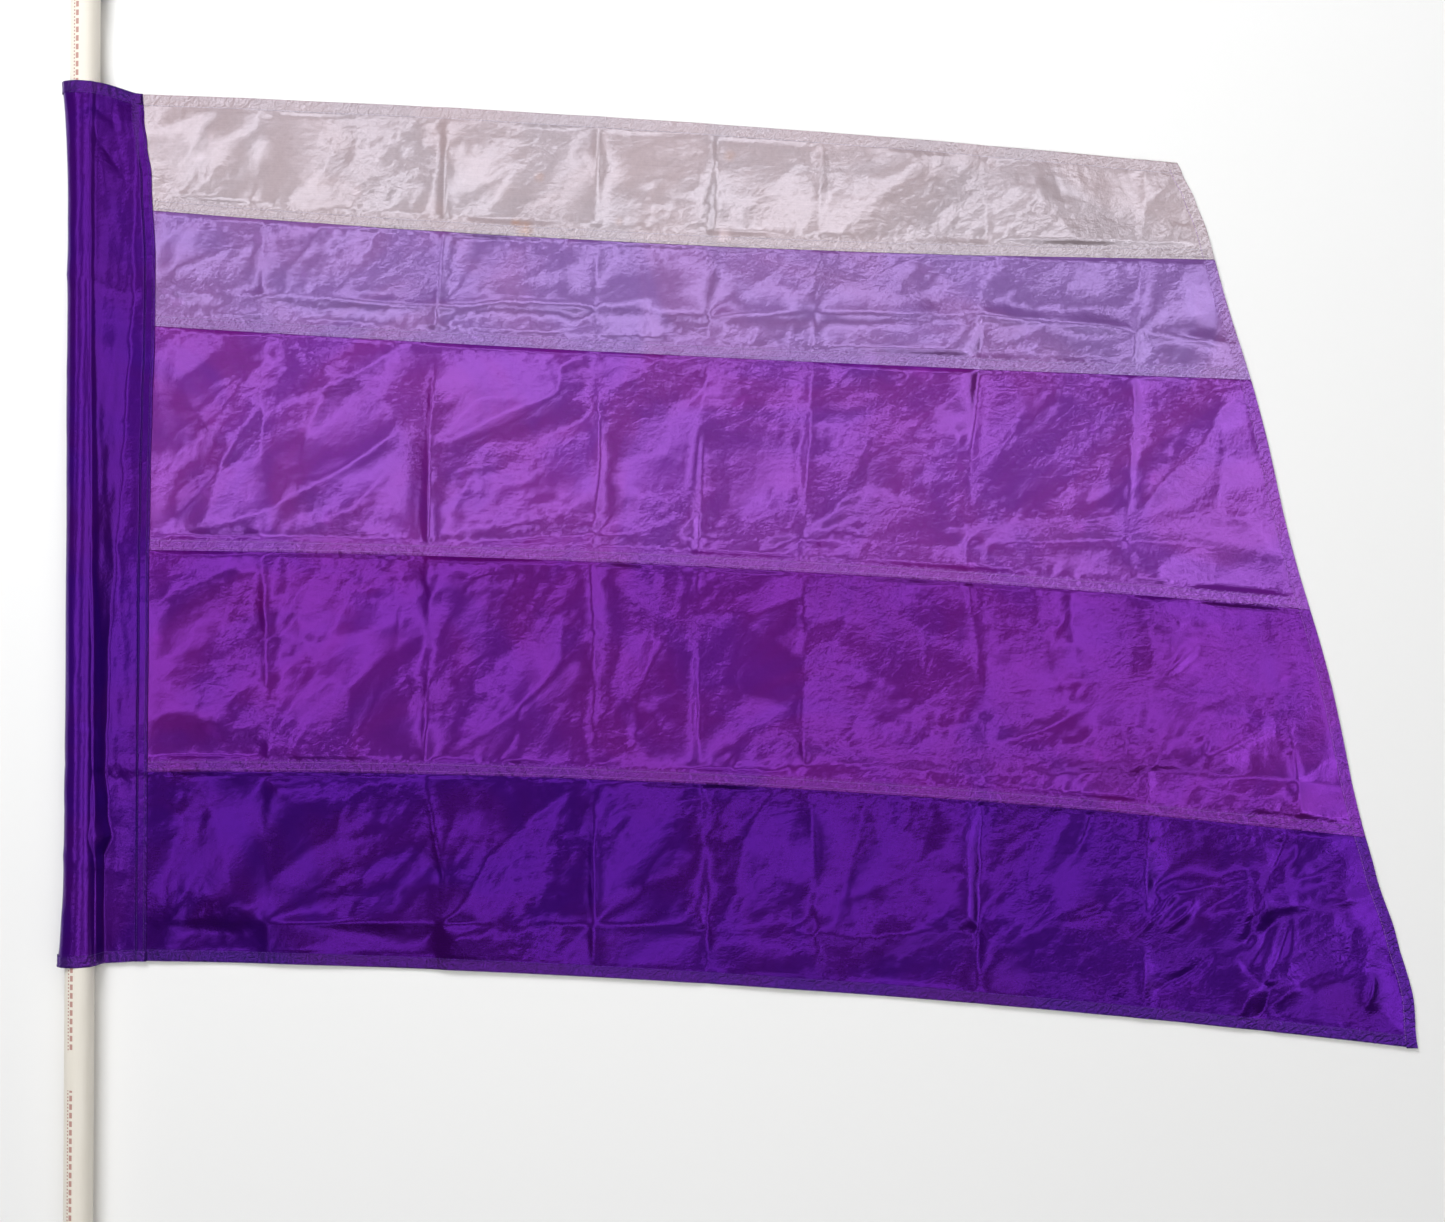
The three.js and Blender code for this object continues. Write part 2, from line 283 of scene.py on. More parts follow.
# %% A map of heights, and noise to draw on it with
PITCH = 1.25                        # between the map's points
LOW = np.array([30.0, -120.0])      # its lower left corner
HIGH = np.array([1400.0, 910.0])
nx, ny = ((HIGH - LOW) / PITCH).astype(int) + 1
map_x = LOW[0] + PITCH * np.arange(nx)
map_y = LOW[1] + PITCH * np.arange(ny)
X, Y = np.meshgrid(map_x, map_y)


def to_flag(x, y):
    """From metres in the frame to millimetres from the pole's axis and the fly's foot."""
    return (x - POLE_X) / MM, (y - FOOT_Y) / MM


def row_mm(k):
    """Height of edge k at every x of the map: 0 is the head, 1 to 4 the seams, 5 the foot."""
    return (np.polyval(rows[k], POLE_X + map_x * MM) - FOOT_Y) / MM


def gradient_noise(u, v, seed):
    """Perlin's noise: random slopes at whole numbers, blended with 6t^5 - 15t^4 + 10t^3."""
    rng = np.random.default_rng(seed)
    angle = rng.uniform(0, 2 * np.pi, (256, 256))
    gx, gy = np.cos(angle), np.sin(angle)
    iu, iv = np.floor(u).astype(int), np.floor(v).astype(int)
    fu, fv = u - iu, v - iv
    su, sv = (t * t * t * (t * (t * 6 - 15) + 10) for t in (fu, fv))

    def corner(du, dv):
        a, b = (iu + du) & 255, (iv + dv) & 255
        return gx[a, b] * (fu - du) + gy[a, b] * (fv - dv)

    low = corner(0, 0) * (1 - su) + corner(1, 0) * su
    high = corner(0, 1) * (1 - su) + corner(1, 1) * su
    return 1.5 * (low * (1 - sv) + high * sv)


def smoothstep(t):
    """0 below 0, 1 above 1, and t*t*(3 - 2t) between them."""
    t = np.clip(t, 0, 1)
    return t * t * (3 - 2 * t)


def blurred(field, radius):
    """The field after a Gaussian blur of radius mm, multiplied out as a Fourier transform."""
    fy = np.fft.fftfreq(field.shape[0] * 2, PITCH)[:, None]
    fx = np.fft.rfftfreq(field.shape[1] * 2, PITCH)[None, :]
    padded = np.pad(field, ((0, field.shape[0]), (0, field.shape[1])), "symmetric")
    kernel = np.exp(-2 * (np.pi * radius) ** 2 * (fx ** 2 + fy ** 2))
    return np.fft.irfft2(np.fft.rfft2(padded) * kernel, padded.shape)[:ny, :nx]


# %% [markdown]
# Storage folds come first. The flag was folded in eight along its length and in four across,
# so a grid of creases covers it. Each crease is a sharp ridge or valley whose sides die away
# exponentially: height = a * exp(-(sqrt(d^2 + r^2) - r) / w), with d the distance from the
# crease, r its small rounding, and w wider on one side than on the other. A narrow crease of the
# same kind is added on top of the wide one, which gives the fold its hard line. Its strength a
# wanders along its length, so the line breaks up as it does on real cloth.

# %% Storage folds
CREASE_ROUND = 0.6
HARD_REACH = (3.5, 5)       # of the narrow crease, on its two sides
TABLE_X = -5.5              # x from the pole's axis at which the tables' own x is 0

# down the flag, from head to foot: points, strength, reach to the left and to the right
folds_down = [
    ([(177, 861), (178, 770), (184, 639), (181, 528), (182, 427), (188, 326), (190, 200),
      (189, 0)], 1.0, 9, 12),
    ([(364, 855), (365, 742), (357, 641), (351, 529), (350, 428), (351, 327), (348, 190),
      (368, 90), (366, 2)], 1.9, 10, 22),
    ([(519, 840), (518, 642), (523, 501), (514, 400), (518, 319), (517, 248), (520, 0)],
     1.1, 9, 13),
    ([(640, 844), (635, 734), (631, 643), (626, 522), (622, 421), (622, 330), (624, 199),
      (634, 118), (633, -8)], -2.1, 8, 24),
    ([(744, 820), (740, 700), (732, 523), (727, 412), (729, 321), (727, 240), (741, 119),
      (744, -10)], 1.3, 9, 20),
    ([(912, 818), (910, 717), (905, 606), (896, 505), (891, 414), (903, 323), (914, 222),
      (908, 121), (906, -20)], -2.2, 14, 10),
    ([(1070, 789), (1060, 608), (1058, 527), (1054, 426), (1075, 335), (1078, 254),
      (1076, 173), (1074, -30)], 1.2, 12, 12),
]
# across the flag, from the sleeve to the free edge: points, strength, reach below and above
folds_across = [
    ([(30, 676), (157, 672), (268, 667), (354, 661), (440, 666), (521, 661), (622, 653),
      (723, 657), (910, 656), (1026, 646), (1163, 627)], 2.1, 10, 26),
    ([(30, 427), (180, 429), (352, 420), (523, 433), (614, 430), (806, 427), (897, 425),
      (1028, 430), (1129, 426), (1220, 411)], -1.8, 12, 24),
    ([(30, 188), (182, 186), (354, 190), (526, 190), (627, 194), (758, 202), (920, 192),
      (1071, 199), (1263, 185)], -1.5, 16, 14),
    ([(640, 40), (780, 29), (931, 41), (1062, 67), (1183, 92), (1305, 88)], 1.2, 14, 16),
]


def crease_ridge(d, reach_low, reach_high):
    """1 on the crease, dying away over reach_low where d < 0 and over reach_high where d > 0."""
    reach = np.where(d < 0, reach_low, reach_high)
    return np.exp(-(np.sqrt(d * d + CREASE_ROUND ** 2) - CREASE_ROUND) / reach)


def crease_distances(points, down):
    """Signed distance from a crease to each point of the map, right of it or above it."""
    path = np.array(sorted(points, key=lambda p: p[1] if down else p[0]), float)
    if down:
        return X - TABLE_X - np.interp(Y, path[:, 1], path[:, 0])
    return Y - np.interp(X - TABLE_X, path[:, 0], path[:, 1])


relief = np.zeros((ny, nx))
nearest_fold = np.full((ny, nx), 1e3)
cell = np.zeros((ny, nx), int)
for i, (points, strength, low_reach, high_reach) in enumerate(folds_down + folds_across):
    is_down = i < len(folds_down)
    d = crease_distances(points, is_down)
    along = Y if is_down else X
    wander = 0.72 + 0.75 * gradient_noise(along / 55, along * 0 + 3.7 * i, 11)
    wide_and_hard = 1.4 * crease_ridge(d, low_reach, high_reach) + 0.5 * crease_ridge(d, *HARD_REACH)
    relief += strength * wander * wide_and_hard
    nearest_fold = np.minimum(nearest_fold, np.abs(d))
    cell += (d > 0) * (1 if is_down else 10)
print("cells between the folds", len(np.unique(cell)))


def tell(what):
    print(what, "heights", relief.min().round(2), "to", relief.max().round(2), "mm")


tell("after the folds,")

# %% [markdown]
# Between the folds each cell of cloth bulges in its own way, mostly in long ridges that run from
# lower left to upper right. Thin stiff cloth bends into shallow bowls that meet in ridges, so the
# bulges are a sum of such bowls, large and small, over one broad soft wave. Every cell reads them
# at its own shift and angle, and a window that is zero on the folds joins the cells without a
# step. The smallest bowls are strongest in the patches that were crumpled.

# %% Bulges in the cells
def facets(u, v, seed):
    """Angular bowls that meet in sharp ridges. Each unit cell holds a random point with a height
    b and a slope g, and the value is the least of b + g.r + 1.1 r^2 over the cells nearby."""
    rng = np.random.default_rng(seed)
    px, py = rng.uniform(0.1, 0.9, (2, 256, 256))
    base = rng.uniform(-0.25, 0.25, (256, 256))
    gx, gy = rng.uniform(-0.75, 0.75, (2, 256, 256))
    iu, iv = np.floor(u).astype(int), np.floor(v).astype(int)
    least = np.full(u.shape, 1e3)
    for du in (-1, 0, 1):
        for dv in (-1, 0, 1):
            a, b = (iu + du) & 255, (iv + dv) & 255
            rx, ry = u - iu - du - px[a, b], v - iv - dv - py[a, b]
            bowl = base[a, b] + gx[a, b] * rx + gy[a, b] * ry + 1.1 * (rx * rx + ry * ry)
            least = np.minimum(least, bowl)
    return least - 0.2


rng = np.random.default_rng(5)
shift_u, shift_v = rng.uniform(0, 200, (2, 60))
turn = np.radians(rng.normal(32, 40, 60))
c_turn, s_turn = np.cos(turn[cell]), np.sin(turn[cell])
bend_x, bend_y = (7 * gradient_noise(X / 85, Y / 85, seed) for seed in (20, 21))
along_ridge = X * c_turn + Y * s_turn + bend_x
across_ridge = -X * s_turn + Y * c_turn + bend_y
fu, fv = shift_u[cell], shift_v[cell]
window = 1 - np.exp(-nearest_fold / 12)
soft = gradient_noise(along_ridge / 240 + fu, across_ridge / 130 + fv, 22)
ridges = facets(along_ridge / 150 + fu, across_ridge / 100 + fv, 23)
hollows = facets(along_ridge / 90 + fv, across_ridge / 56 + fu, 24)
small = (facets(along_ridge / 30 + fv, across_ridge / 17 + fv, 25)
         - facets(along_ridge / 26 + fu, across_ridge / 15, 26))
tiny = facets(X / 9.5, Y / 8, 27) - facets(X / 8.5, Y / 9.5, 28)
crumpled = smoothstep(0.5 + 1.6 * gradient_noise(X / 120, Y / 80, 29))
relief += (window * (7.0 * soft + 6.4 * ridges - 1.7 * hollows)
           + (0.1 + 0.9 * crumpled) * (0.6 * small + 0.25 * tiny))
tell("after the bulges,")

# %% [markdown]
# Some wrinkles are strong enough to be placed one by one, such as the fans that spread from
# where two folds cross, and the long pulls near the free edge's lower corner. Each is a short
# ridge from one point to another, tapering to nothing at both ends.

# %% Wrinkles placed one by one: start, end, height, reach to the right and to the left of it
placed_wrinkles = [
    # orchid stripe, left half: long pulls from the sleeve up to the right
    ((75, 430), (175, 560), 1.6, 10, 16), ((80, 500), (178, 610), 1.2, 8, 14),
    ((110, 428), (345, 560), 2.2, 16, 26), ((185, 560), (345, 640), 1.6, 10, 20),
    ((190, 470), (350, 560), 1.1, 12, 16), ((195, 432), (300, 470), 1.0, 8, 12),
    ((240, 440), (330, 520), 1.2, 10, 14), ((360, 430), (515, 470), 1.4, 12, 18),
    ((370, 520), (510, 600), 1.1, 10, 16),
    # lavender stripe
    ((200, 690), (250, 760), 0.8, 6, 10), ((260, 675), (355, 735), 1.1, 8, 14),
    ((370, 690), (520, 712), 1.0, 12, 18), ((430, 660), (630, 690), 0.9, 8, 16),
    ((650, 665), (735, 745), 0.9, 8, 12), ((915, 660), (1010, 740), 0.9, 8, 14),
    # lilac stripe
    ((85, 845), (180, 780), 0.9, 10, 18), ((190, 830), (240, 770), 0.8, 8, 12),
    ((300, 770), (360, 845), 1.1, 10, 16), ((375, 840), (420, 770), 0.7, 8, 12),
    ((380, 770), (470, 850), 0.9, 9, 14), ((650, 750), (735, 830), 0.8, 8, 14),
    ((920, 730), (975, 810), 1.0, 8, 12), ((905, 800), (870, 740), 0.8, 8, 12),
    ((1075, 700), (1110, 790), 0.8, 8, 12),
    # orchid stripe, right half
    ((640, 440), (730, 470), 1.1, 10, 14), ((745, 440), (800, 560), 1.5, 12, 18),
    ((735, 560), (785, 620), 0.9, 7, 10), ((800, 640), (890, 540), 1.1, 8, 14),
    ((930, 440), (1050, 540), 1.0, 9, 14), ((925, 620), (1000, 500), 0.9, 8, 12),
    ((1060, 440), (1110, 560), 0.9, 8, 12), ((1130, 430), (1150, 560), 0.8, 7, 10),
    # purple stripe
    ((360, 205), (515, 330), 1.5, 14, 20), ((525, 240), (620, 400), 1.6, 14, 18),
    ((530, 390), (620, 335), 1.2, 9, 14), ((640, 400), (735, 300), 1.4, 10, 16),
    ((750, 410), (895, 320), 1.6, 9, 16), ((800, 240), (890, 300), 1.0, 9, 14),
    ((120, 240), (180, 300), 0.9, 10, 16), ((200, 330), (345, 350), 0.8, 12, 18),
    ((640, 250), (700, 200), 0.8, 8, 12), ((960, 400), (980, 300), 1.0, 6, 8),
    ((1000, 405), (1010, 290), 1.0, 6, 8), ((930, 390), (960, 320), 0.8, 6, 8),
    # indigo stripe
    ((200, 60), (360, 120), 1.2, 16, 24), ((380, 150), (500, 60), 1.2, 16, 22),
    ((640, 160), (760, 60), 1.3, 14, 20), ((760, 60), (900, 150), 1.0, 12, 18),
    ((800, 30), (905, 70), 0.9, 10, 14),
]


def wrinkle(start, end, height, right, left, field):
    """Adds height * sin(pi*t)^0.7 * exp(-|d|/reach) along a straight wrinkle, t from 0 to 1."""
    x0, y0, x1, y1 = start[0] + TABLE_X, start[1], end[0] + TABLE_X, end[1]
    length = math.hypot(x1 - x0, y1 - y0)
    spread = 5 * max(right, left)
    i0, i1 = np.searchsorted(map_x, (min(x0, x1) - spread, max(x0, x1) + spread))
    j0, j1 = np.searchsorted(map_y, (min(y0, y1) - spread, max(y0, y1) + spread))
    x, y = X[j0:j1, i0:i1] - x0, Y[j0:j1, i0:i1] - y0
    ux, uy = (x1 - x0) / length, (y1 - y0) / length
    t = (x * ux + y * uy) / length
    d = -x * uy + y * ux + 0.06 * length * np.sin(np.pi * np.clip(t, 0, 1))
    taper = np.sin(np.pi * np.clip(t, 0, 1)) ** 0.7
    field[j0:j1, i0:i1] += height * taper * crease_ridge(d, right, left)


for start, end, height, right, left in placed_wrinkles:
    wrinkle(start, end, height, right, left, relief)
print("wrinkles placed by hand", len(placed_wrinkles))

# %% [markdown]
# The lower corner by the free edge was gripped and crushed, so it is full of short sharp
# wrinkles, and fine ones are scattered over the rest. They are drawn at random with a fixed
# seed, more of them and steeper where the cloth was crushed.

# %% Crushed cloth
rng = np.random.default_rng(17)


def scatter(count, centre, spread, angle, length, height, reach):
    """count wrinkles around a centre: places and sizes are normal draws, angles in degrees."""
    for _ in range(count):
        x, y = rng.normal(centre, spread)
        a = math.radians(rng.normal(*angle))
        half = 0.5 * abs(rng.normal(*length))
        dx, dy = half * math.cos(a), half * math.sin(a)
        up = rng.normal(0, height)
        wide = reach * rng.uniform(0.6, 1.5)
        wrinkle((x - dx, y - dy), (x + dx, y + dy), up, wide, wide * rng.uniform(0.6, 1.6), relief)


scatter(80, (1190, 60), (95, 75), (40, 30), (75, 28), 1.5, 5.5)
scatter(130, (1100, 240), (130, 55), (35, 40), (34, 14), 0.45, 4)
scatter(120, (900, 225), (170, 28), (70, 50), (22, 10), 0.35, 3.5)
scatter(70, (850, 560), (60, 50), (60, 50), (26, 12), 0.4, 4)
scatter(60, (640, 445), (260, 12), (20, 50), (20, 8), 0.35, 3.5)
scatter(60, (700, 640), (260, 14), (30, 50), (22, 9), 0.35, 4)
scatter(160, (640, 440), (380, 260), (40, 45), (45, 20), 0.35, 6)
tell("with crushed cloth,")

# %% [markdown]
# Sewing stiffens the cloth. Along each seam and hem the bulges are weaker, and the thread has
# drawn the band between its rows into small slanting puckers about 8 mm apart. Below a seam
# the gathered cloth lets go in short tucks. The band is two layers thick.

# %% Seams and hems
PUCKER = 8.0


def band_window(d, width, soft_edge=1.6):
    """1 where 0 < d < width, falling smoothly to 0 over soft_edge on both sides."""
    return smoothstep(d / soft_edge + 0.5) * smoothstep((width - d) / soft_edge + 0.5)


def puckers(along, across, seed, width, strength):
    """strength * sin(2 pi (along + 0.45 across) / 8 mm + wandering phase) inside the band."""
    phase = (along + 0.45 * across) / PUCKER + 1.6 * gradient_noise(along / 27, along * 0 + seed, 31)
    swell = 0.55 + 0.9 * np.abs(gradient_noise(along / 33, across / 9 + seed, 32))
    return strength * swell * np.sin(2 * np.pi * phase) * band_window(across, width)


def tucks(along, below, seed, reach, strength):
    """Narrow ridges that hang from a seam and die away: strength * noise * exp(-below / reach)."""
    lean = along - 0.35 * below
    ridge = gradient_noise(lean / 8.5, along / 120 + seed, 33)
    return strength * ridge * np.exp(-np.maximum(below, 0) / reach) * smoothstep(below / 2 + 0.5)


edge_y = [row_mm(k)[None, :] for k in range(6)]
lap_mm = SEAM_LAP / MM
hem_mm = HEM / MM
free_x = ((free_x_at(FOOT_Y + map_y * MM) - POLE_X) / MM)[:, None]
inside = free_x - X
stiffness = np.zeros((ny, nx))
for k in range(1, 5):
    rise = Y - edge_y[k]
    stiffness = np.maximum(stiffness, 0.72 * band_window(rise + 2, lap_mm + 4, 5))
for rise in (edge_y[0] - Y, Y - edge_y[5], inside):
    stiffness = np.maximum(stiffness, 0.45 * band_window(rise + 2, hem_mm + 4, 5))
relief *= 1 - stiffness
for k in range(1, 5):
    rise = Y - edge_y[k]
    relief += puckers(X, rise, 7.1 * k, lap_mm, 0.6)
    relief += tucks(X, -rise, 5.3 * k, 16, 0.8) + tucks(X, rise - lap_mm, 9.1 * k, 12, 0.5)
relief += puckers(X, edge_y[0] - Y, 2.2, hem_mm, 0.6) + tucks(X, edge_y[0] - Y - hem_mm, 3.1, 14, 0.7)
relief += puckers(X, Y - edge_y[5], 4.4, hem_mm, 0.4) + tucks(X, Y - edge_y[5] - hem_mm, 6.1, 14, 0.3)
relief += puckers(Y, inside, 8.8, hem_mm, 0.5) + tucks(Y, inside - hem_mm, 1.7, 14, 0.6)

# %% [markdown]
# The sleeve holds the cloth flat beside it. Last, the lowest places of the map are brought down
# to the floor: a wide blur gives the general level, which is taken away, and what is left below
# the floor is folded softly back above it.

# %% Lay the map on the floor
LEAST = 0.75               # the cloth's least height, above the sleeve's lower layer
beside_sleeve = smoothstep((X - 62) / 30)
relief *= 0.25 + 0.75 * beside_sleeve
relief -= blurred(relief, 60)
relief = blurred(relief, 0.6)
to_edge = np.minimum(np.minimum(edge_y[0] - Y, Y - edge_y[5]), inside)
relief = (relief + 4.5) * (0.45 + 0.55 * smoothstep(to_edge / 45))
relief = LEAST + 0.5 * (relief + np.sqrt(relief ** 2 + 0.5 ** 2))
slope = np.hypot(*np.gradient(relief, PITCH))
tell("on the floor,")
print("median slope", np.degrees(np.arctan(np.median(slope))).round(1), "degrees")

# %% [markdown]
# Creases finer than the grids below can hold go into the shader as a bump. How strong it is at
# each place is a second map, from 0.04 to 1: more towards the free edge, in crumpled patches and
# along the seams, and less in the smooth lower left of the indigo stripe.

# %% How crumpled the cloth is
near_seam = np.max([np.exp(-np.abs(Y - edge_y[k]) / 17) for k in range(6)], 0)
crumple_map = 0.12 + 0.35 * smoothstep((X - 300) / 600) + 0.45 * crumpled + 0.5 * near_seam
crumple_map *= 0.75 + 0.9 * gradient_noise(X / 60, Y / 45, 35)
crumple_map = np.clip(crumple_map * np.where((Y < edge_y[4]) & (X < 950), 0.6, 1.0), 0.04, 1)


def sampled(field, x, y):
    """Value of a map at frame points x, y, bilinear between the map's points."""
    u, v = to_flag(x, y)
    gu = np.clip((u - LOW[0]) / PITCH, 0, nx - 1.001)
    gv = np.clip((v - LOW[1]) / PITCH, 0, ny - 1.001)
    iu, iv = gu.astype(int), gv.astype(int)
    fu, fv = gu - iu, gv - iv
    low = field[iv, iu] * (1 - fu) + field[iv, iu + 1] * fu
    high = field[iv + 1, iu] * (1 - fu) + field[iv + 1, iu + 1] * fu
    return low * (1 - fv) + high * fv


def height_at(x, y):
    """Height of the cloth over the floor at frame points x, y, in metres."""
    return sampled(relief, x, y) * MM


print("crumple map, mean", crumple_map.mean().round(2))


# %% [markdown]
# A stripe is one grid of points. Its rows run from its upper edge to its lower one, and its
# columns from under the sleeve to the free edge. Past an edge that is turned under, the grid
# goes round a tight half circle and back beneath the cloth, which makes a real hem. The upper
# edge of a stripe instead runs on beneath the stripe above it, as the felled seam has it.

# %% Stripes
GRID_ALONG = 2.45 * MM
GRID_DOWN = 2.75 * MM
FOLD_R = 0.28 * MM
TURN_STEPS = 4
CLOTH_THICK = 0.12 * MM


def turned_under(width):
    """Steps past an edge that is turned under: distance from the edge inwards, and drop.
    First a half circle of radius FOLD_R, then straight back below the cloth."""
    a = np.linspace(0, np.pi, TURN_STEPS + 1)[1:]
    back = np.linspace(0, width, 5)[1:]
    inwards = np.concatenate([FOLD_R * (1 - np.sin(a)) - FOLD_R, back])
    drop = np.concatenate([FOLD_R * (1 - np.cos(a)), np.full(4, 2 * FOLD_R)])
    return inwards, drop


def run_along(x, y, axis):
    """Distance run along a grid's rows or columns, seen from above."""
    first = [slice(None), slice(None)]
    first[axis] = slice(0, 1)
    dx = np.diff(x, axis=axis, prepend=x[tuple(first)])
    dy = np.diff(y, axis=axis, prepend=y[tuple(first)])
    return np.cumsum(np.hypot(dx, dy), axis)


def stripe_points(k):
    """Points of stripe k, their places on the flat cloth, its flat area, and where it is doubled.
    With s from the sleeve to the free edge and t from the upper edge to the lower one, x =
    (1-s)*left(y) + s*free(y) and y = (1-t)*upper(x) + t*lower(x), solved by six substitutions."""
    depth = float(np.polyval(rows[k], MIDDLE_X) - np.polyval(rows[k + 1], MIDDLE_X))
    cols_n = int((np.polyval(free_edge, FOOT_Y) - POLE_X - SLEEVE_REACH) / GRID_ALONG)
    rows_n = int(depth / GRID_DOWN)
    hem_in, hem_drop = turned_under(HEM)
    s = np.concatenate([np.linspace(0, 1, cols_n), np.ones(len(hem_in))])
    past_free = np.concatenate([np.zeros(cols_n), -hem_in])
    drop_free = np.concatenate([np.zeros(cols_n), hem_drop])
    tuck = np.linspace(SEAM_LAP, 0, 6)[:-1]
    if k == 0:
        first, first_drop = -hem_in[::-1], hem_drop[::-1]
    else:
        first, first_drop = tuck, np.full(5, 2.6 * FOLD_R)
    even = np.linspace(0, 1, rows_n)
    closer_at_ends = even - 0.3 * np.sin(2 * np.pi * even) / (2 * np.pi)
    t = np.concatenate([np.zeros(len(first)), closer_at_ends, np.ones(len(hem_in))])
    past_row = np.concatenate([first, np.zeros(rows_n), hem_in])
    drop_row = np.concatenate([first_drop, np.zeros(rows_n), hem_drop])
    s, t = s[None, :], t[:, None]
    x = np.full((t.size, s.size), MIDDLE_X)
    y = np.zeros_like(x)
    for _ in range(6):
        y = (1 - t) * np.polyval(rows[k], x) + t * np.polyval(rows[k + 1], x)
        x = (1 - s) * (sewn_edge(y) - SEAM_LAP) + s * free_x_at(y)
    y = y + past_row[:, None]
    x = (1 - s) * (sewn_edge(y) - SEAM_LAP) + s * free_x_at(y) + past_free[None, :]
    z = height_at(x, y) - drop_row[:, None] - drop_free[None, :]
    under_neighbour = 2 * FOLD_R * smoothstep((y - np.polyval(rows[k], x)) / (2 * MM) + 1)
    z = z + FOLD_R * 2 - (under_neighbour if k else 0)
    flat_u, flat_v = run_along(x, y, 1), run_along(x, y, 0)
    area = float(flat_u[:, -1].mean() * flat_v[-1].mean())
    above_lower = (y - np.polyval(rows[k + 1], x)) / MM
    doubled = band_window(above_lower + 1, (SEAM_LAP if k < 4 else HEM) / MM + 1)
    doubled = np.maximum(doubled, band_window((free_x_at(y) - x) / MM + 1, HEM / MM + 1))
    if k == 0:
        doubled = np.maximum(doubled, band_window((np.polyval(rows[0], x) - y) / MM + 1, HEM / MM + 1))
    points = np.stack([x, y, z], -1)[::-1]
    return points, np.stack([flat_u, flat_v], -1)[::-1], area, doubled[::-1]


stripe_pieces = {}
for k, name in enumerate(STRIPES):
    points, flat, area, doubled = stripe_points(k)
    piece = mesh_from(f"{name}_stripe", points.reshape(-1, 3), grid_faces(*points.shape[:2]),
                      flat.reshape(-1, 2))
    add_attribute(piece, "layers", doubled)
    add_attribute(piece, "crumple", sampled(crumple_map, points[..., 0], points[..., 1]))
    stripe_pieces[name] = piece
    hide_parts(f"{name}_panel")
    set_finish(piece, f"{name}_cloth")
    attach(piece, "fly")

# %% [markdown]
# The sleeve is one strip of cloth. It starts in a hem on top of the stripes, runs left, climbs
# over the pole, goes round it and comes back beneath the stripes to a second hem. At each
# height along the pole that path is a row of the grid. The cloth falls off the pole's right
# side to a soft fold, which wanders, and both mouths of the sleeve flare to the left. Cloth that
# goes straight from the pole to the floor would look like a board, so it sags a little in the
# upper part, and near the foot, where it is slack, it arches out instead.

# %% Sleeve
LAP_RISE = 1.15 * MM          # top layer above the relief that the stripes follow
BOTTOM_RISE = 0.25 * MM
SLEEVE_GAP = 0.9 * MM         # round the pole
FLARE = 7.3 * MM
FLARE_REACH = 44 * MM
SAG = 0.3 * MM                # of the straight fall
ARCH = 6 * MM                 # of the slack fall near the foot
ARCH_TOP = 215                # height in mm where the arch has died away, over ARCH_FADE mm
ARCH_FADE = 60
FOLD_SOFT = 1.6 * MM          # softness of the line where it lands
LEAST_FOLD = 17 * MM          # nearest that it may land to the pole's axis

# the line where the upper layer comes down to the cloth: height above the foot, and x, in mm
sleeve_fold = np.array([(-4, 16.5), (41, 16.5), (85, 17.5), (108, 20), (127, 29), (146, 24), (172, 22.5),
                        (190, 22), (210, 23), (263, 24), (330, 26), (420, 31), (560, 40), (675, 47),
                        (885, 50)], float)


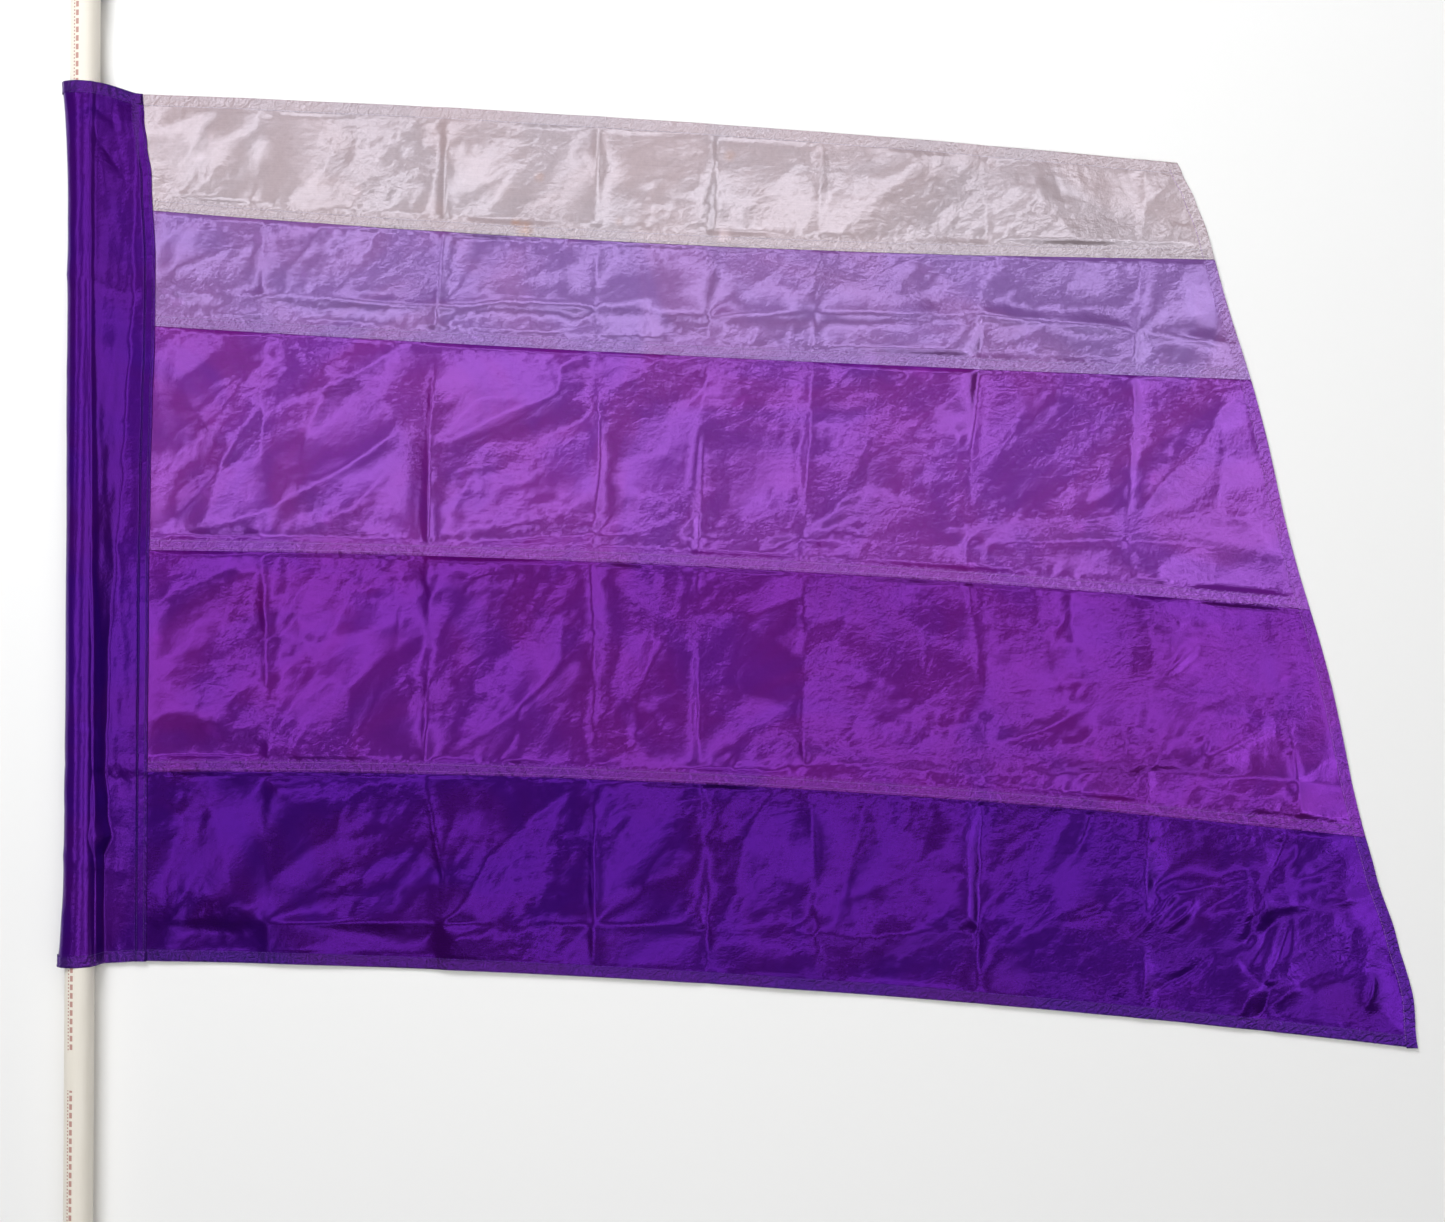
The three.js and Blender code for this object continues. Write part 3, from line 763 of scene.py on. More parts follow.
def sleeve_path(y):
    """The sleeve's path in x and z for every y, with shape (n, 1): hem, flat top, fall that
    touches the pole, round the pole, flat bottom and hem. With D and b the distance and the angle
    from the axis to the fold, the fall touches the pole at the angle b + acos(r / D)."""
    edge = sewn_edge(y)
    v = (y - FOOT_Y) / MM
    to_end = np.minimum(y - sleeve_low.y, sleeve_high.y - y)
    flare = FLARE * np.exp(-np.maximum(to_end, 0) / FLARE_REACH)
    slack = (0.3 + 0.5 * gradient_noise(v / 130, v * 0 + 4.2, 41)) * MM
    radius = POLE_R + SLEEVE_GAP
    fold_x = POLE_X + (np.interp(v, *sleeve_fold.T) + 2 * gradient_noise(v / 37, v * 0 + 8.8, 42)) * MM
    fold_x = np.clip(fold_x, POLE_X + LEAST_FOLD, edge - 6 * MM)
    fold_z = height_at(fold_x, y) + LAP_RISE
    to_fold = np.hypot(fold_x - POLE_X, fold_z - AXIS_Z)
    lift = np.arctan2(fold_z - AXIS_Z, fold_x - POLE_X) + np.arccos(np.clip(radius / to_fold, 0, 1))
    touch_x, touch_z = POLE_X + radius * np.cos(lift), AXIS_Z + radius * np.sin(lift)

    back = np.linspace(HEM, 0, 5)[None, :]
    hem_z = height_at(edge - back, y + 0 * back) + LAP_RISE
    a = np.linspace(0, np.pi, TURN_STEPS + 2)[None, 1:-1]
    turn_x = edge + FOLD_R * np.sin(a)
    turn_z = height_at(edge, y) + LAP_RISE + FOLD_R * (1 - np.cos(a))
    top_x = edge + (touch_x - edge) * np.linspace(0, 1, 56)[None, :]
    flat_z = height_at(np.maximum(top_x, POLE_X + 31 * MM), y + 0 * top_x) + LAP_RISE + 2 * FOLD_R
    fall_z = touch_z + (fold_z - touch_z) * (top_x - touch_x) / (fold_x - touch_x)
    arch = -SAG + (ARCH + SAG) * smoothstep((ARCH_TOP - v) / ARCH_FADE)
    share = np.clip((top_x - touch_x) / (fold_x - touch_x), 0, 1)
    fall_z = fall_z + arch * np.sin(np.pi * share) ** 1.2
    top_z = 0.5 * (flat_z + fall_z + np.sqrt((flat_z - fall_z) ** 2 + FOLD_SOFT ** 2) - FOLD_SOFT)
    top_z = top_z + (touch_z - top_z) * smoothstep(1 - (top_x - touch_x) / (6 * MM))
    around = lift + (1.5 * np.pi - lift) * np.linspace(0, 1, 50)[None, 1:]
    left = 0.5 - 0.5 * np.cos(around)
    arc_x = POLE_X + radius * np.cos(around) - (flare + slack) * left
    arc_z = AXIS_Z + radius * np.sin(around)
    b = np.linspace(0, 1, 28)[None, 1:]
    bottom_x = arc_x[:, -1:] + (edge - arc_x[:, -1:]) * b
    settle = smoothstep(b * 3.5)
    bottom_z = arc_z[:, -1:] * (1 - settle) + BOTTOM_RISE * settle
    turn_back_z = BOTTOM_RISE + 0.5 * FOLD_R * (1 - np.cos(a))
    end = np.linspace(0, HEM, 5)[None, :]
    xs = [edge - back, turn_x, top_x, arc_x, bottom_x, turn_x, edge - end]
    zs = [hem_z, turn_z, top_z, arc_z, bottom_z, turn_back_z, BOTTOM_RISE + FOLD_R + 0 * end]
    return np.concatenate([c + 0 * y for c in xs], 1), np.concatenate([c + 0 * y for c in zs], 1)


def surface_normals(points):
    """Unit normals of a grid of points, by the cross product of its row and column slopes."""
    n = np.cross(np.gradient(points, axis=1), np.gradient(points, axis=0))
    return n / np.maximum(np.linalg.norm(n, axis=-1, keepdims=True), 1e-12)


sleeve_rows = int((sleeve_high.y - sleeve_low.y) / (2.8 * MM))
y_rows = np.linspace(sleeve_low.y, sleeve_high.y, sleeve_rows)[:, None]
path_x, path_z = sleeve_path(y_rows)
sleeve_points = np.stack([path_x, y_rows + 0 * path_x, path_z], -1)
step = np.linalg.norm(np.diff(sleeve_points, axis=1, prepend=sleeve_points[:, :1]), axis=-1)
around_m = np.cumsum(step, 1)
shortest, longest = around_m[:, -1].min(), around_m[:, -1].max()
print("sleeve path", shortest.round(4), "to", longest.round(4), "m round")

# %% [markdown]
# The loose part of the sleeve has wrinkles of its own: long ones beside the pole, a few slanting
# pulls, and kinks where the storage folds cross it. They move each point along the surface's
# normal, and fade out where the strip is sewn down or lies beneath. Its two mouths are hemmed.
# They are cut a little askew, so each one draws in away from the pole.

# %% Wrinkles of the sleeve, and its two open ends
v_mm = (sleeve_points[..., 1] - FOOT_Y) / MM
u_mm = around_m / MM
path_share = around_m / around_m[:, -1:]
loose = smoothstep((path_share - 0.10) / 0.10) * smoothstep((0.72 - path_share) / 0.12)
sleeve_relief = (0.65 * gradient_noise(v_mm / 95, u_mm / 17, 44)
                 + 0.35 * gradient_noise(v_mm / 30, u_mm / 9, 45))

# slanting creases in the upper part: start, end, height, reach
slanting = [((2, 846), (50, 770), -1.9, 5), ((-4, 866), (34, 838), -0.9, 4),
            ((30, 812), (48, 770), 0.8, 5), ((12, 700), (50, 640), -0.6, 6)]
# kinks of the storage folds: height above the foot, strength
kinks = [(188, -1.3), (427, -1.1), (676, 0.9), (95, 0.8), (140, -0.7)]
x_mm = (sleeve_points[..., 0] - POLE_X) / MM
for (x0, v0), (x1, v1), depth, reach in slanting:
    run = math.hypot(x1 - x0, v1 - v0)
    to_x, to_v = (x1 - x0) / run, (v1 - v0) / run
    t = np.clip(((x_mm - x0) * to_x + (v_mm - v0) * to_v) / run, 0, 1)
    off = -(x_mm - x0) * to_v + (v_mm - v0) * to_x
    sleeve_relief += depth * np.sin(np.pi * t) ** 0.7 * crease_ridge(off, reach, 1.8 * reach)
for height, strength in kinks:
    skew = v_mm - height - 0.25 * (u_mm - 60)
    sleeve_relief += strength * crease_ridge(skew, 7, 11) * smoothstep((u_mm - 15) / 20)
from_mouth = np.minimum(v_mm - v_mm.min(), v_mm.max() - v_mm)
sleeve_relief += 0.25 * np.sin(2 * np.pi * u_mm / 7.5) * band_window(from_mouth, 10)
normals = surface_normals(sleeve_points)
from_axis = np.hypot(sleeve_points[..., 0] - POLE_X, sleeve_points[..., 2] - AXIS_Z)
on_pole = np.exp(-((from_axis / POLE_R - 1) / 0.12) ** 2)
push = sleeve_relief * loose * (1 - 0.75 * on_pole) + 0.5 * np.abs(sleeve_relief) * loose * on_pole
outwards = normals if normals[sleeve_rows // 2, 60, 2] > 0 else -normals
sleeve_points = sleeve_points + outwards * (push * MM)[..., None]
mouth_in, mouth_drop = turned_under(HEM)


def mouth_hem(index, direction):
    """Rows that turn inside the sleeve at one mouth: inwards along the pole, and off the cloth."""
    rim, rim_out = sleeve_points[index], outwards[index]
    n = len(mouth_in)
    hem = np.repeat(rim[None], n, 0)
    hem[:, :, 1] += direction * mouth_in[:, None]
    return hem - rim_out[None] * mouth_drop[:, None, None]


sleeve_layers = np.maximum(band_window(u_mm - 11, 13), band_window(from_mouth + 1, HEM / MM + 1))
sleeve_layers = np.pad(sleeve_layers, ((len(mouth_in), len(mouth_in)), (0, 0)), "edge")
foot_hem = mouth_hem(0, 1)[::-1]
head_hem = mouth_hem(-1, -1)
sleeve_points = np.concatenate([foot_hem, sleeve_points, head_hem], 0)

# By the pole the mouths keep their height, because the caps are only 1 mm away at the ends of
# the slide. The draw begins DRAW_FROM right of the axis and is whole DRAW_OVER further on.
MOUTH_OUT = 0.5 * MM
HEAD_DRAW = 5.9 * MM
FOOT_DRAW = 2.0 * MM
DRAW_FROM = 17 * MM
DRAW_OVER = 38 * MM
away = smoothstep((sleeve_points[..., 0] - POLE_X - DRAW_FROM) / DRAW_OVER)
end_share = np.clip((sleeve_points[..., 1] - sleeve_low.y) / (sleeve_high.y - sleeve_low.y), 0, 1)
at_head, at_foot = smoothstep((end_share - 0.9) / 0.1), smoothstep((0.1 - end_share) / 0.1)
sleeve_points[..., 1] += at_head * (MOUTH_OUT - HEAD_DRAW * away)
sleeve_points[..., 1] -= at_foot * (MOUTH_OUT - FOOT_DRAW * away)
print("sleeve grid", sleeve_points.shape)

hem_rows = len(mouth_in)
around_all = np.concatenate([around_m[:1]] * hem_rows + [around_m] + [around_m[-1:]] * hem_rows)
sleeve_uv = np.stack([around_all, sleeve_points[..., 1]], -1)
sleeve = mesh_from("sleeve", sleeve_points.reshape(-1, 3), grid_faces(*sleeve_points.shape[:2])[:, ::-1],
                   sleeve_uv.reshape(-1, 2))
add_attribute(sleeve, "layers", sleeve_layers)
add_attribute(sleeve, "crumple", np.full(sleeve_layers.shape, 0.3))
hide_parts("sleeve_wrap", "sleeve_web")
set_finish(sleeve, "sleeve_cloth")
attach(sleeve, "fly")

# %% [markdown]
# A real seam shows its thread as separate stitches. Each stitch is a short arch of thread that
# dips into the cloth at both ends. One small template is copied along a row by array
# arithmetic: every point = place + along * direction + across * side + up * height. Copies keep
# a few dozen faces each, because there are thousands of them.

# %% Stitches
STITCH_PITCH = 3.1 * MM
STITCH_LENGTH = 2.3 * MM
THREAD_R = 0.2 * MM
ARCH_RISE = 1.1               # of a stitch's middle over its ends, in thread radii
ARCH_DIP = 0.35               # how deep the whole stitch sits in the cloth
ring_angle = np.linspace(0, 2 * np.pi, 7)[:-1]
ring_along = np.array([-0.5, -0.42, -0.15, 0.15, 0.42, 0.5])
ring_size = np.array([0.25, 0.9, 1.0, 1.0, 0.9, 0.25])
arch = (1 - (2 * ring_along[:, None]) ** 2) * ARCH_RISE - ARCH_DIP
template = np.stack([
    np.repeat(ring_along, 6) * STITCH_LENGTH,
    (ring_size[:, None] * np.cos(ring_angle)).ravel() * THREAD_R,
    (ring_size[:, None] * np.sin(ring_angle) + arch).ravel() * THREAD_R,
], -1)
tube = grid_faces(6, 6, close_cols=True)
tube_ends = np.array([[0, 5, 4, 3], [0, 3, 2, 1], [30, 31, 32, 33], [30, 33, 34, 35]])
template_faces = np.concatenate([tube, tube_ends])
stitch_pieces = []


def stitch_row(node, path, slot):
    """Stitches along a path of (n, 3) points, which stands in for a CAD row of thread. Returns
    how many there are."""
    gaps = np.linalg.norm(np.diff(path, axis=0), axis=1)
    run = np.concatenate([[0], np.cumsum(gaps)])
    count = int(run[-1] / STITCH_PITCH)
    middle_at = (np.arange(count) + 0.5) * STITCH_PITCH

    def at(distance):
        return np.stack([np.interp(distance, run, path[:, i]) for i in range(3)], -1)

    ahead = at(middle_at + STITCH_LENGTH / 2) - at(middle_at - STITCH_LENGTH / 2)
    ahead /= np.linalg.norm(ahead, axis=1, keepdims=True)
    side = np.cross([0, 0, 1.0], ahead)
    side /= np.linalg.norm(side, axis=1, keepdims=True)
    rise = np.cross(ahead, side)
    points = (at(middle_at)[:, None] + template[None, :, 0:1] * ahead[:, None]
              + template[None, :, 1:2] * side[:, None] + template[None, :, 2:3] * rise[:, None])
    faces = (template_faces[None] + len(template) * np.arange(count)[:, None, None]).reshape(-1, 4)
    piece = mesh_from(node.replace("_thread", "_stitches"), points.reshape(-1, 3), faces)
    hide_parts(node)
    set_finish(piece, slot)
    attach(piece, "fly")
    stitch_pieces.append(piece)
    return count


def on_cloth(x, y, rise=0.0):
    """Points on top of the cloth, which is two layers thick at a seam."""
    return np.stack([x, y, height_at(x, y) + 2 * FOLD_R + CLOTH_THICK + rise], -1)


SAMPLES = 1200                # points of a row's path
total = 0
for k in range(6):
    if k == 0:
        plans = [("head_hem_thread", -HEM, "lilac_thread")]
    elif k == 5:
        plans = [("foot_hem_thread", HEM, "indigo_thread")]
    else:
        slot = f"{STRIPES[k - 1]}_thread"
        plans = [(f"{SEAMS[k - 1]}_edge_thread", EDGE_STITCH, slot),
                 (f"{SEAMS[k - 1]}_fell_thread", SEAM_LAP - EDGE_STITCH, slot)]
    for node, rise, slot in plans:
        y_end = np.polyval(rows[k], np.polyval(free_edge, np.polyval(rows[k], FAR_X)))
        x_row = np.linspace(sewn_edge(np.polyval(rows[k], SEWN_X)) + MM,
                            free_x_at(y_end + rise) - 2 * MM, SAMPLES)
        total += stitch_row(node, on_cloth(x_row, np.polyval(rows[k], x_row) + rise), slot)

y_row = np.linspace(free_row[:, 1].max(), free_row[:, 1].min(), SAMPLES)
total += stitch_row("free_edge_hem_thread", on_cloth(free_x_at(y_row) - HEM, y_row), "orchid_thread")

y_row = np.linspace(sleeve_low.y + 3 * MM, sleeve_high.y - 3 * MM, SAMPLES)
for node, inset in (("sleeve_edge_thread", EDGE_STITCH), ("sleeve_lap_thread", SEAM_LAP - EDGE_STITCH)):
    total += stitch_row(node, on_cloth(sewn_edge(y_row) - inset, y_row, LAP_RISE), "indigo_thread")

# each mouth's row goes over the flat top and on over the pole, HEM inside the rim
first_top = 5 + TURN_STEPS
OVER_POLE = 72                # columns of the sleeve's grid
for node, row in (("sleeve_foot_hem_thread", hem_rows + 4), ("sleeve_head_hem_thread", -hem_rows - 5)):
    path = sleeve_points[row, first_top:first_top + OVER_POLE] + [0, 0, CLOTH_THICK]
    total += stitch_row(node, path, "indigo_thread")
print("stitches", total, "in", len(stitch_pieces), "rows")

# %% [markdown]
# The pole is plain plastic pipe. Its profile is carried round the axis: outside, a rounded cut
# at each end, and the bore. The caps are moulded vinyl cups with a rolled mouth, a slight taper
# and a rounded closed end. A cap's profile starts and ends on the axis, where its ring of points
# is all in one place, so those points are merged to close it.

# %% Pole and caps
TURN_POINTS = 64              # round the axis


def turned_piece(name, profile, steps, closed):
    """Carries a profile of (radius, y) points round the pole's axis: x = r sin a, z = r cos a."""
    a = np.linspace(0, 2 * np.pi, steps, endpoint=False)
    r, y = np.array(profile, float).T
    points = np.stack([POLE_X + r[:, None] * np.sin(a), np.repeat(y[:, None], steps, 1),
                       AXIS_Z + r[:, None] * np.cos(a)], -1)
    uv = np.stack([np.repeat(a[None] * r.max(), len(r), 0), points[..., 1]], -1)
    faces = grid_faces(len(r), steps, close_rows=closed, close_cols=True)
    return mesh_from(name, points.reshape(-1, 3), faces, uv.reshape(-1, 2))


def arc(centre_r, centre_y, radius, start, end, steps):
    """Points of an arc in the (radius, y) plane, angles in degrees from the +radius direction."""
    a = np.radians(np.linspace(start, end, steps))
    return [(centre_r + radius * math.cos(t), centre_y + radius * math.sin(t)) for t in a]


POLE_WALL = 2.6 * MM
CUT = 0.5 * MM
bore = POLE_R - POLE_WALL
body_y = np.linspace(pole_low.y + 2 * MM, pole_high.y - 2 * MM, 60)
profile = arc(POLE_R - CUT, pole_low.y + CUT, CUT, -90, 0, 4)
profile += [(POLE_R, y) for y in body_y]
profile += arc(POLE_R - CUT, pole_high.y - CUT, CUT, 0, 90, 4)
profile += arc(bore + CUT, pole_high.y - CUT, CUT, 90, 180, 4)
profile += [(bore, y) for y in body_y[::-6]]
profile += arc(bore + CUT, pole_low.y + CUT, CUT, 180, 270, 4)
pole = turned_piece("pole", profile, TURN_POINTS, True)
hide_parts("pole_tube")
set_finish(pole, "pole_plastic")
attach(pole, "pole")


def merge_on_axis(piece):
    """Merges the points that meet on the axis, which closes a cap at both of its ends."""
    bm = bmesh.new()
    bm.from_mesh(piece.data)
    bmesh.ops.remove_doubles(bm, verts=bm.verts, dist=1e-6)
    bmesh.ops.dissolve_degenerate(bm, dist=1e-7, edges=bm.edges)
    bm.to_mesh(piece.data)
    bm.free()


CAP_END = 4 * MM              # thickness of the closed end
CAP_LIP = 1 * MM              # rounding of the mouth, and of the corner inside
CAP_BEAD = 3.4 * MM           # width of the bead round the mouth
CAP_ROUND = 2.6 * MM          # rounding of the closed end
CAP_FIT = 0.3 * MM            # between the cap and the pole


def cap(node, at_tip):
    """A push-on cap between its CAD box's mouth and end, mirrored for the butt."""
    low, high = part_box(node)
    outer, length = (high.x - low.x) / 2, high.y - low.y
    inner, floor_at = POLE_R + CAP_FIT, length - CAP_END
    shape = [(0.0, floor_at), (inner * 0.5, floor_at)]
    shape += arc(inner - CAP_LIP, floor_at - CAP_LIP, CAP_LIP, 90, 0, 5)
    shape += [(inner, length * f) for f in (0.7, 0.4, 0.1)]
    shape += arc(inner + CAP_LIP, CAP_LIP, CAP_LIP, 180, 270, 5)
    shape += arc(outer - CAP_LIP, CAP_LIP, CAP_LIP, 270, 360, 5)
    shape += [(outer, CAP_BEAD), (outer - 0.35 * MM, CAP_BEAD + 0.5 * MM),
              (outer - 0.45 * MM, length * 0.5)]
    shape += arc(outer - 0.6 * MM - CAP_ROUND, length - CAP_ROUND, CAP_ROUND, 0, 90, 8)
    shape += [(outer * 0.5, length), (0.0, length)]
    sign, start = (1, low.y) if at_tip else (-1, high.y)
    profile = [(r, start + sign * y) for r, y in shape]
    mouth_first = profile if at_tip else profile[::-1]
    piece = turned_piece(node.replace("_cap", "_end_cap"), mouth_first, TURN_POINTS, False)
    merge_on_axis(piece)
    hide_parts(node)
    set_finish(piece, "cap_vinyl")
    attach(piece, node)
    return piece


caps = [cap("tip_cap", True), cap("butt_cap", False)]
print("pole and caps", [p.name for p in [pole] + caps])

# %% [markdown]
# The cloth gets its thickness last. A Solidify modifier gives each sheet a second face and a
# rim, 0.12 mm away on the underside.

# %% Thickness
for piece in list(stripe_pieces.values()) + [sleeve]:
    solid = piece.modifiers.new("thickness", "SOLIDIFY")
    solid.thickness = CLOTH_THICK
    solid.offset = -1
    solid.use_rim = True

# %% [markdown]
# Materials are trees of nodes. A few helpers keep each one readable: they add a node with its
# values, mix two colours, multiply, bring a value from one range to another, and add a bump.

# %% Helpers for materials


def node_of(tree, kind, **values):
    """Adds a shader node and sets its plain properties and its named inputs."""
    node = tree.nodes.new(kind)
    for key, value in values.items():
        if key in node.inputs:
            node.inputs[key].default_value = value
        else:
            setattr(node, key, value)
    return node


def mix_colour(tree, factor, a, b, blend="MIX"):
    """Mixes two colours, each a node's output or a plain colour, by a factor of either kind."""
    node = tree.nodes.new("ShaderNodeMix")
    node.data_type = "RGBA"
    node.blend_type = blend
    for socket, value in ((node.inputs[0], factor), (node.inputs[6], a), (node.inputs[7], b)):
        if isinstance(value, bpy.types.NodeSocket):
            tree.links.new(value, socket)
        else:
            socket.default_value = value
    return node.outputs[2]


def times(tree, a, b):
    """The product of two values."""
    node = node_of(tree, "ShaderNodeMath", operation="MULTIPLY")
    tree.links.new(a, node.inputs[0])
    if isinstance(b, bpy.types.NodeSocket):
        tree.links.new(b, node.inputs[1])
    else:
        node.inputs[1].default_value = b
    return node.outputs[0]


def ranged(tree, value, given, wanted, interpolation="LINEAR"):
    """Brings a value from the given range to the wanted one, and stops at its ends."""
    node = node_of(tree, "ShaderNodeMapRange", interpolation_type=interpolation)
    for socket, end in zip(node.inputs[1:5], (*given, *wanted)):
        socket.default_value = end
    tree.links.new(value, node.inputs[0])
    return node.outputs[0]


def noise_at(tree, place, **values):
    """Noise read at a place, given as a node's output."""
    node = node_of(tree, "ShaderNodeTexNoise", **values)
    tree.links.new(place, node.inputs["Vector"])
    return node


def bumped(tree, height, distance, below=None, strength=1.0):
    """A bump from a height that is 0 to 1, over distance metres, on top of the bump below it."""
    node = node_of(tree, "ShaderNodeBump", Strength=strength, Distance=distance)
    tree.links.new(height, node.inputs["Height"])
    if below is not None:
        tree.links.new(below, node.inputs["Normal"])
    return node.outputs["Normal"]


# %% [markdown]
# The cloth is woven of bright filament yarn, and most of what is seen of it is gloss that has
# taken the dye's tint. The dye below it is uneven: it is deeper and paler in a broad drift, in
# streaks along the yarn and in flecks, and the hue leans to red in some places and to blue in
# others. Thin pale wisps over it are a painted sheen: a lighter colour with a little of the
# gloss tint, laid into the base colour by ridged noise. Two layers on top of each other are a
# little paler, which the attribute "layers" tells. The palest stripe has six old brown spots.

# %% Colour of the cloth
DOUBLED = 0.012                   # how much paler two layers are than one
DOUBLED_TINT = (0.9, 0.8, 1.0)
REDDER = (0.26, 0.0, -0.14)       # the dye leans from one to the other across the cloth
BLUER = (-0.20, 0.0, 0.12)
DEEP, BRIGHT = 0.6, 1.4           # ends of the uneven dye, as shares of its colour

# old spots: place in the tables' mm, radius in mm, strength
STAINS = [((446, 739), 13, 1.0), ((436, 746), 8, 0.8), ((459, 793), 8, 0.7),
          ((651, 815), 9, 0.7), ((823, 787), 8, 0.6), ((540, 748), 7, 0.6)]
STAIN_COLOUR = (0.40, 0.17, 0.05, 1)


def stained(tree, place, tone):
    """Lays old rust-brown spots over a tone: each fades from its centre to its radius."""
    blot = noise_at(tree, place, Scale=150.0, Detail=3.0)
    for (u, v), radius, strength in STAINS:
        apart = node_of(tree, "ShaderNodeVectorMath", operation="DISTANCE")
        tree.links.new(place, apart.inputs[0])
        apart.inputs[1].default_value = (POLE_X + (u + TABLE_X) * MM, FOOT_Y + v * MM, 3 * MM)
        fade = ranged(tree, apart.outputs["Value"], (0.0, radius * MM), (strength, 0.0), "SMOOTHSTEP")
        tone = mix_colour(tree, times(tree, fade, blot.outputs["Fac"]), tone, STAIN_COLOUR)
    return tone


def dyed_tone(tree, place, weave_at, layers, colour, gloss, leaning):
    """The dye's tone: mixes of a deep and a bright one by noise, paler where layers is 1, then
    wisps of painted sheen, and last a product with the leaning colour."""
    deep, bright = ((*(share * c for c in colour), 1) for share in (DEEP, BRIGHT))
    drift = noise_at(tree, place, Scale=7.0, Detail=4.0, Roughness=0.6)
    tone = mix_colour(tree, drift.outputs["Fac"], deep, bright)
    along_yarn = node_of(tree, "ShaderNodeMapping", Scale=(14, 900, 1))
    tree.links.new(weave_at, along_yarn.inputs["Vector"])
    streak = noise_at(tree, along_yarn.outputs["Vector"], Scale=1.0, Detail=2.0)
    tone = mix_colour(tree, 0.3, tone, mix_colour(tree, streak.outputs["Fac"], deep, bright))
    fleck = noise_at(tree, place, Scale=230.0, Detail=2.0, Roughness=0.7)
    tone = mix_colour(tree, 0.3, tone, mix_colour(tree, fleck.outputs["Fac"], deep, bright))
    doubled = [c + DOUBLED * (1 - c) * d for c, d in zip(colour, DOUBLED_TINT)]
    tone = mix_colour(tree, layers, tone, (*doubled, 1))
    # Pale wisps by ridged noise: a painted sheen, lighter than the dye with a little of the gloss tint
    wisps = noise_at(tree, place, noise_type="RIDGED_MULTIFRACTAL", Scale=30.0, Detail=6.0,
                     Roughness=0.8, Distortion=0.6)
    painted_sheen = [1.7 * c + 0.07 * g for c, g in zip(colour, gloss)]
    thin = ranged(tree, wisps.outputs["Fac"], (0.35, 1.0), (0.0, 0.9))
    tone = mix_colour(tree, thin, tone, (*painted_sheen, 1))
    hue = noise_at(tree, place, Scale=5.0, Detail=3.0, Roughness=0.6, Distortion=1.2)
    lean = ranged(tree, hue.outputs["Fac"], (0.38, 0.62), (0.0, 1.0), "SMOOTHSTEP")
    redder, bluer = ((*(1 + leaning * c for c in shift), 1) for shift in (REDDER, BLUER))
    return mix_colour(tree, 1.0, tone, mix_colour(tree, lean, redder, bluer), "MULTIPLY")


# %% [markdown]
# Four bumps lie on top of each other, all too fine for the mesh. The weave is two crossed waves
# on the cloth's own UV map, in metres. The creases of crumpled cloth are straight lines that
# meet at angles, as the borders between Voronoi cells do, and the attribute "crumple" says how
# deep they are. A grain as of thin crinkled foil grows with it. Along the seams the cloth is
# roped: slanting folds that a bent wave draws, only where "layers" is 1.

# %% Bumps of the cloth, and its material
WEAVE = (("X", 520.0), ("Y", 470.0))
WEAVE_BUMP = 0.05 * MM
CREASE_BUMP = 3.6 * MM
CREASE_SLANT = math.radians(-35)
GRAIN_BUMP = 0.3 * MM
ROPING_BUMP = 0.3 * MM
CLOTH_ROUGHNESS = 0.23
CLOTH_IOR = 2.1


def cloth_bumps(tree, place, weave_at, layers):
    """The cloth's normal after its four bumps: weave, creases, grain and roping."""
    heights = []
    for direction, scale in WEAVE:
        wave = node_of(tree, "ShaderNodeTexWave", bands_direction=direction, Scale=scale)
        wave.inputs["Distortion"].default_value = 0.3
        tree.links.new(weave_at, wave.inputs["Vector"])
        heights.append(wave.outputs["Fac"])
    normal = bumped(tree, times(tree, *heights), WEAVE_BUMP, strength=0.1)
    crumple = node_of(tree, "ShaderNodeAttribute", attribute_name="crumple").outputs["Fac"]
    warp = noise_at(tree, place, Scale=22.0, Detail=2.0)
    bent = node_of(tree, "ShaderNodeVectorMath", operation="MULTIPLY_ADD")
    bent.inputs[1].default_value = (0.03, 0.03, 0.0)
    tree.links.new(warp.outputs["Color"], bent.inputs[0])
    tree.links.new(place, bent.inputs[2])
    slant = node_of(tree, "ShaderNodeMapping", Rotation=(0, 0, CREASE_SLANT), Scale=(0.6, 1.3, 1.0))
    tree.links.new(bent.outputs[0], slant.inputs["Vector"])
    creases = node_of(tree, "ShaderNodeTexVoronoi", feature="DISTANCE_TO_EDGE", Scale=24.0,
                      Detail=3.0, Roughness=0.6, Lacunarity=2.3)
    tree.links.new(slant.outputs["Vector"], creases.inputs["Vector"])
    normal = bumped(tree, times(tree, creases.outputs["Distance"], crumple), CREASE_BUMP, normal)
    grain = noise_at(tree, place, Scale=110.0, Detail=3.0, Roughness=0.7)
    coarser = ranged(tree, crumple, (0.1, 0.9), (0.7, 2.4))
    normal = bumped(tree, times(tree, grain.outputs["Fac"], coarser), GRAIN_BUMP, normal)
    roping = node_of(tree, "ShaderNodeTexWave", bands_direction="DIAGONAL", Scale=75.0,
                     Distortion=9.0, Detail=3.0)
    roping.inputs["Detail Scale"].default_value = 1.6
    tree.links.new(weave_at, roping.inputs["Vector"])
    return bumped(tree, times(tree, roping.outputs["Fac"], layers), ROPING_BUMP, normal)


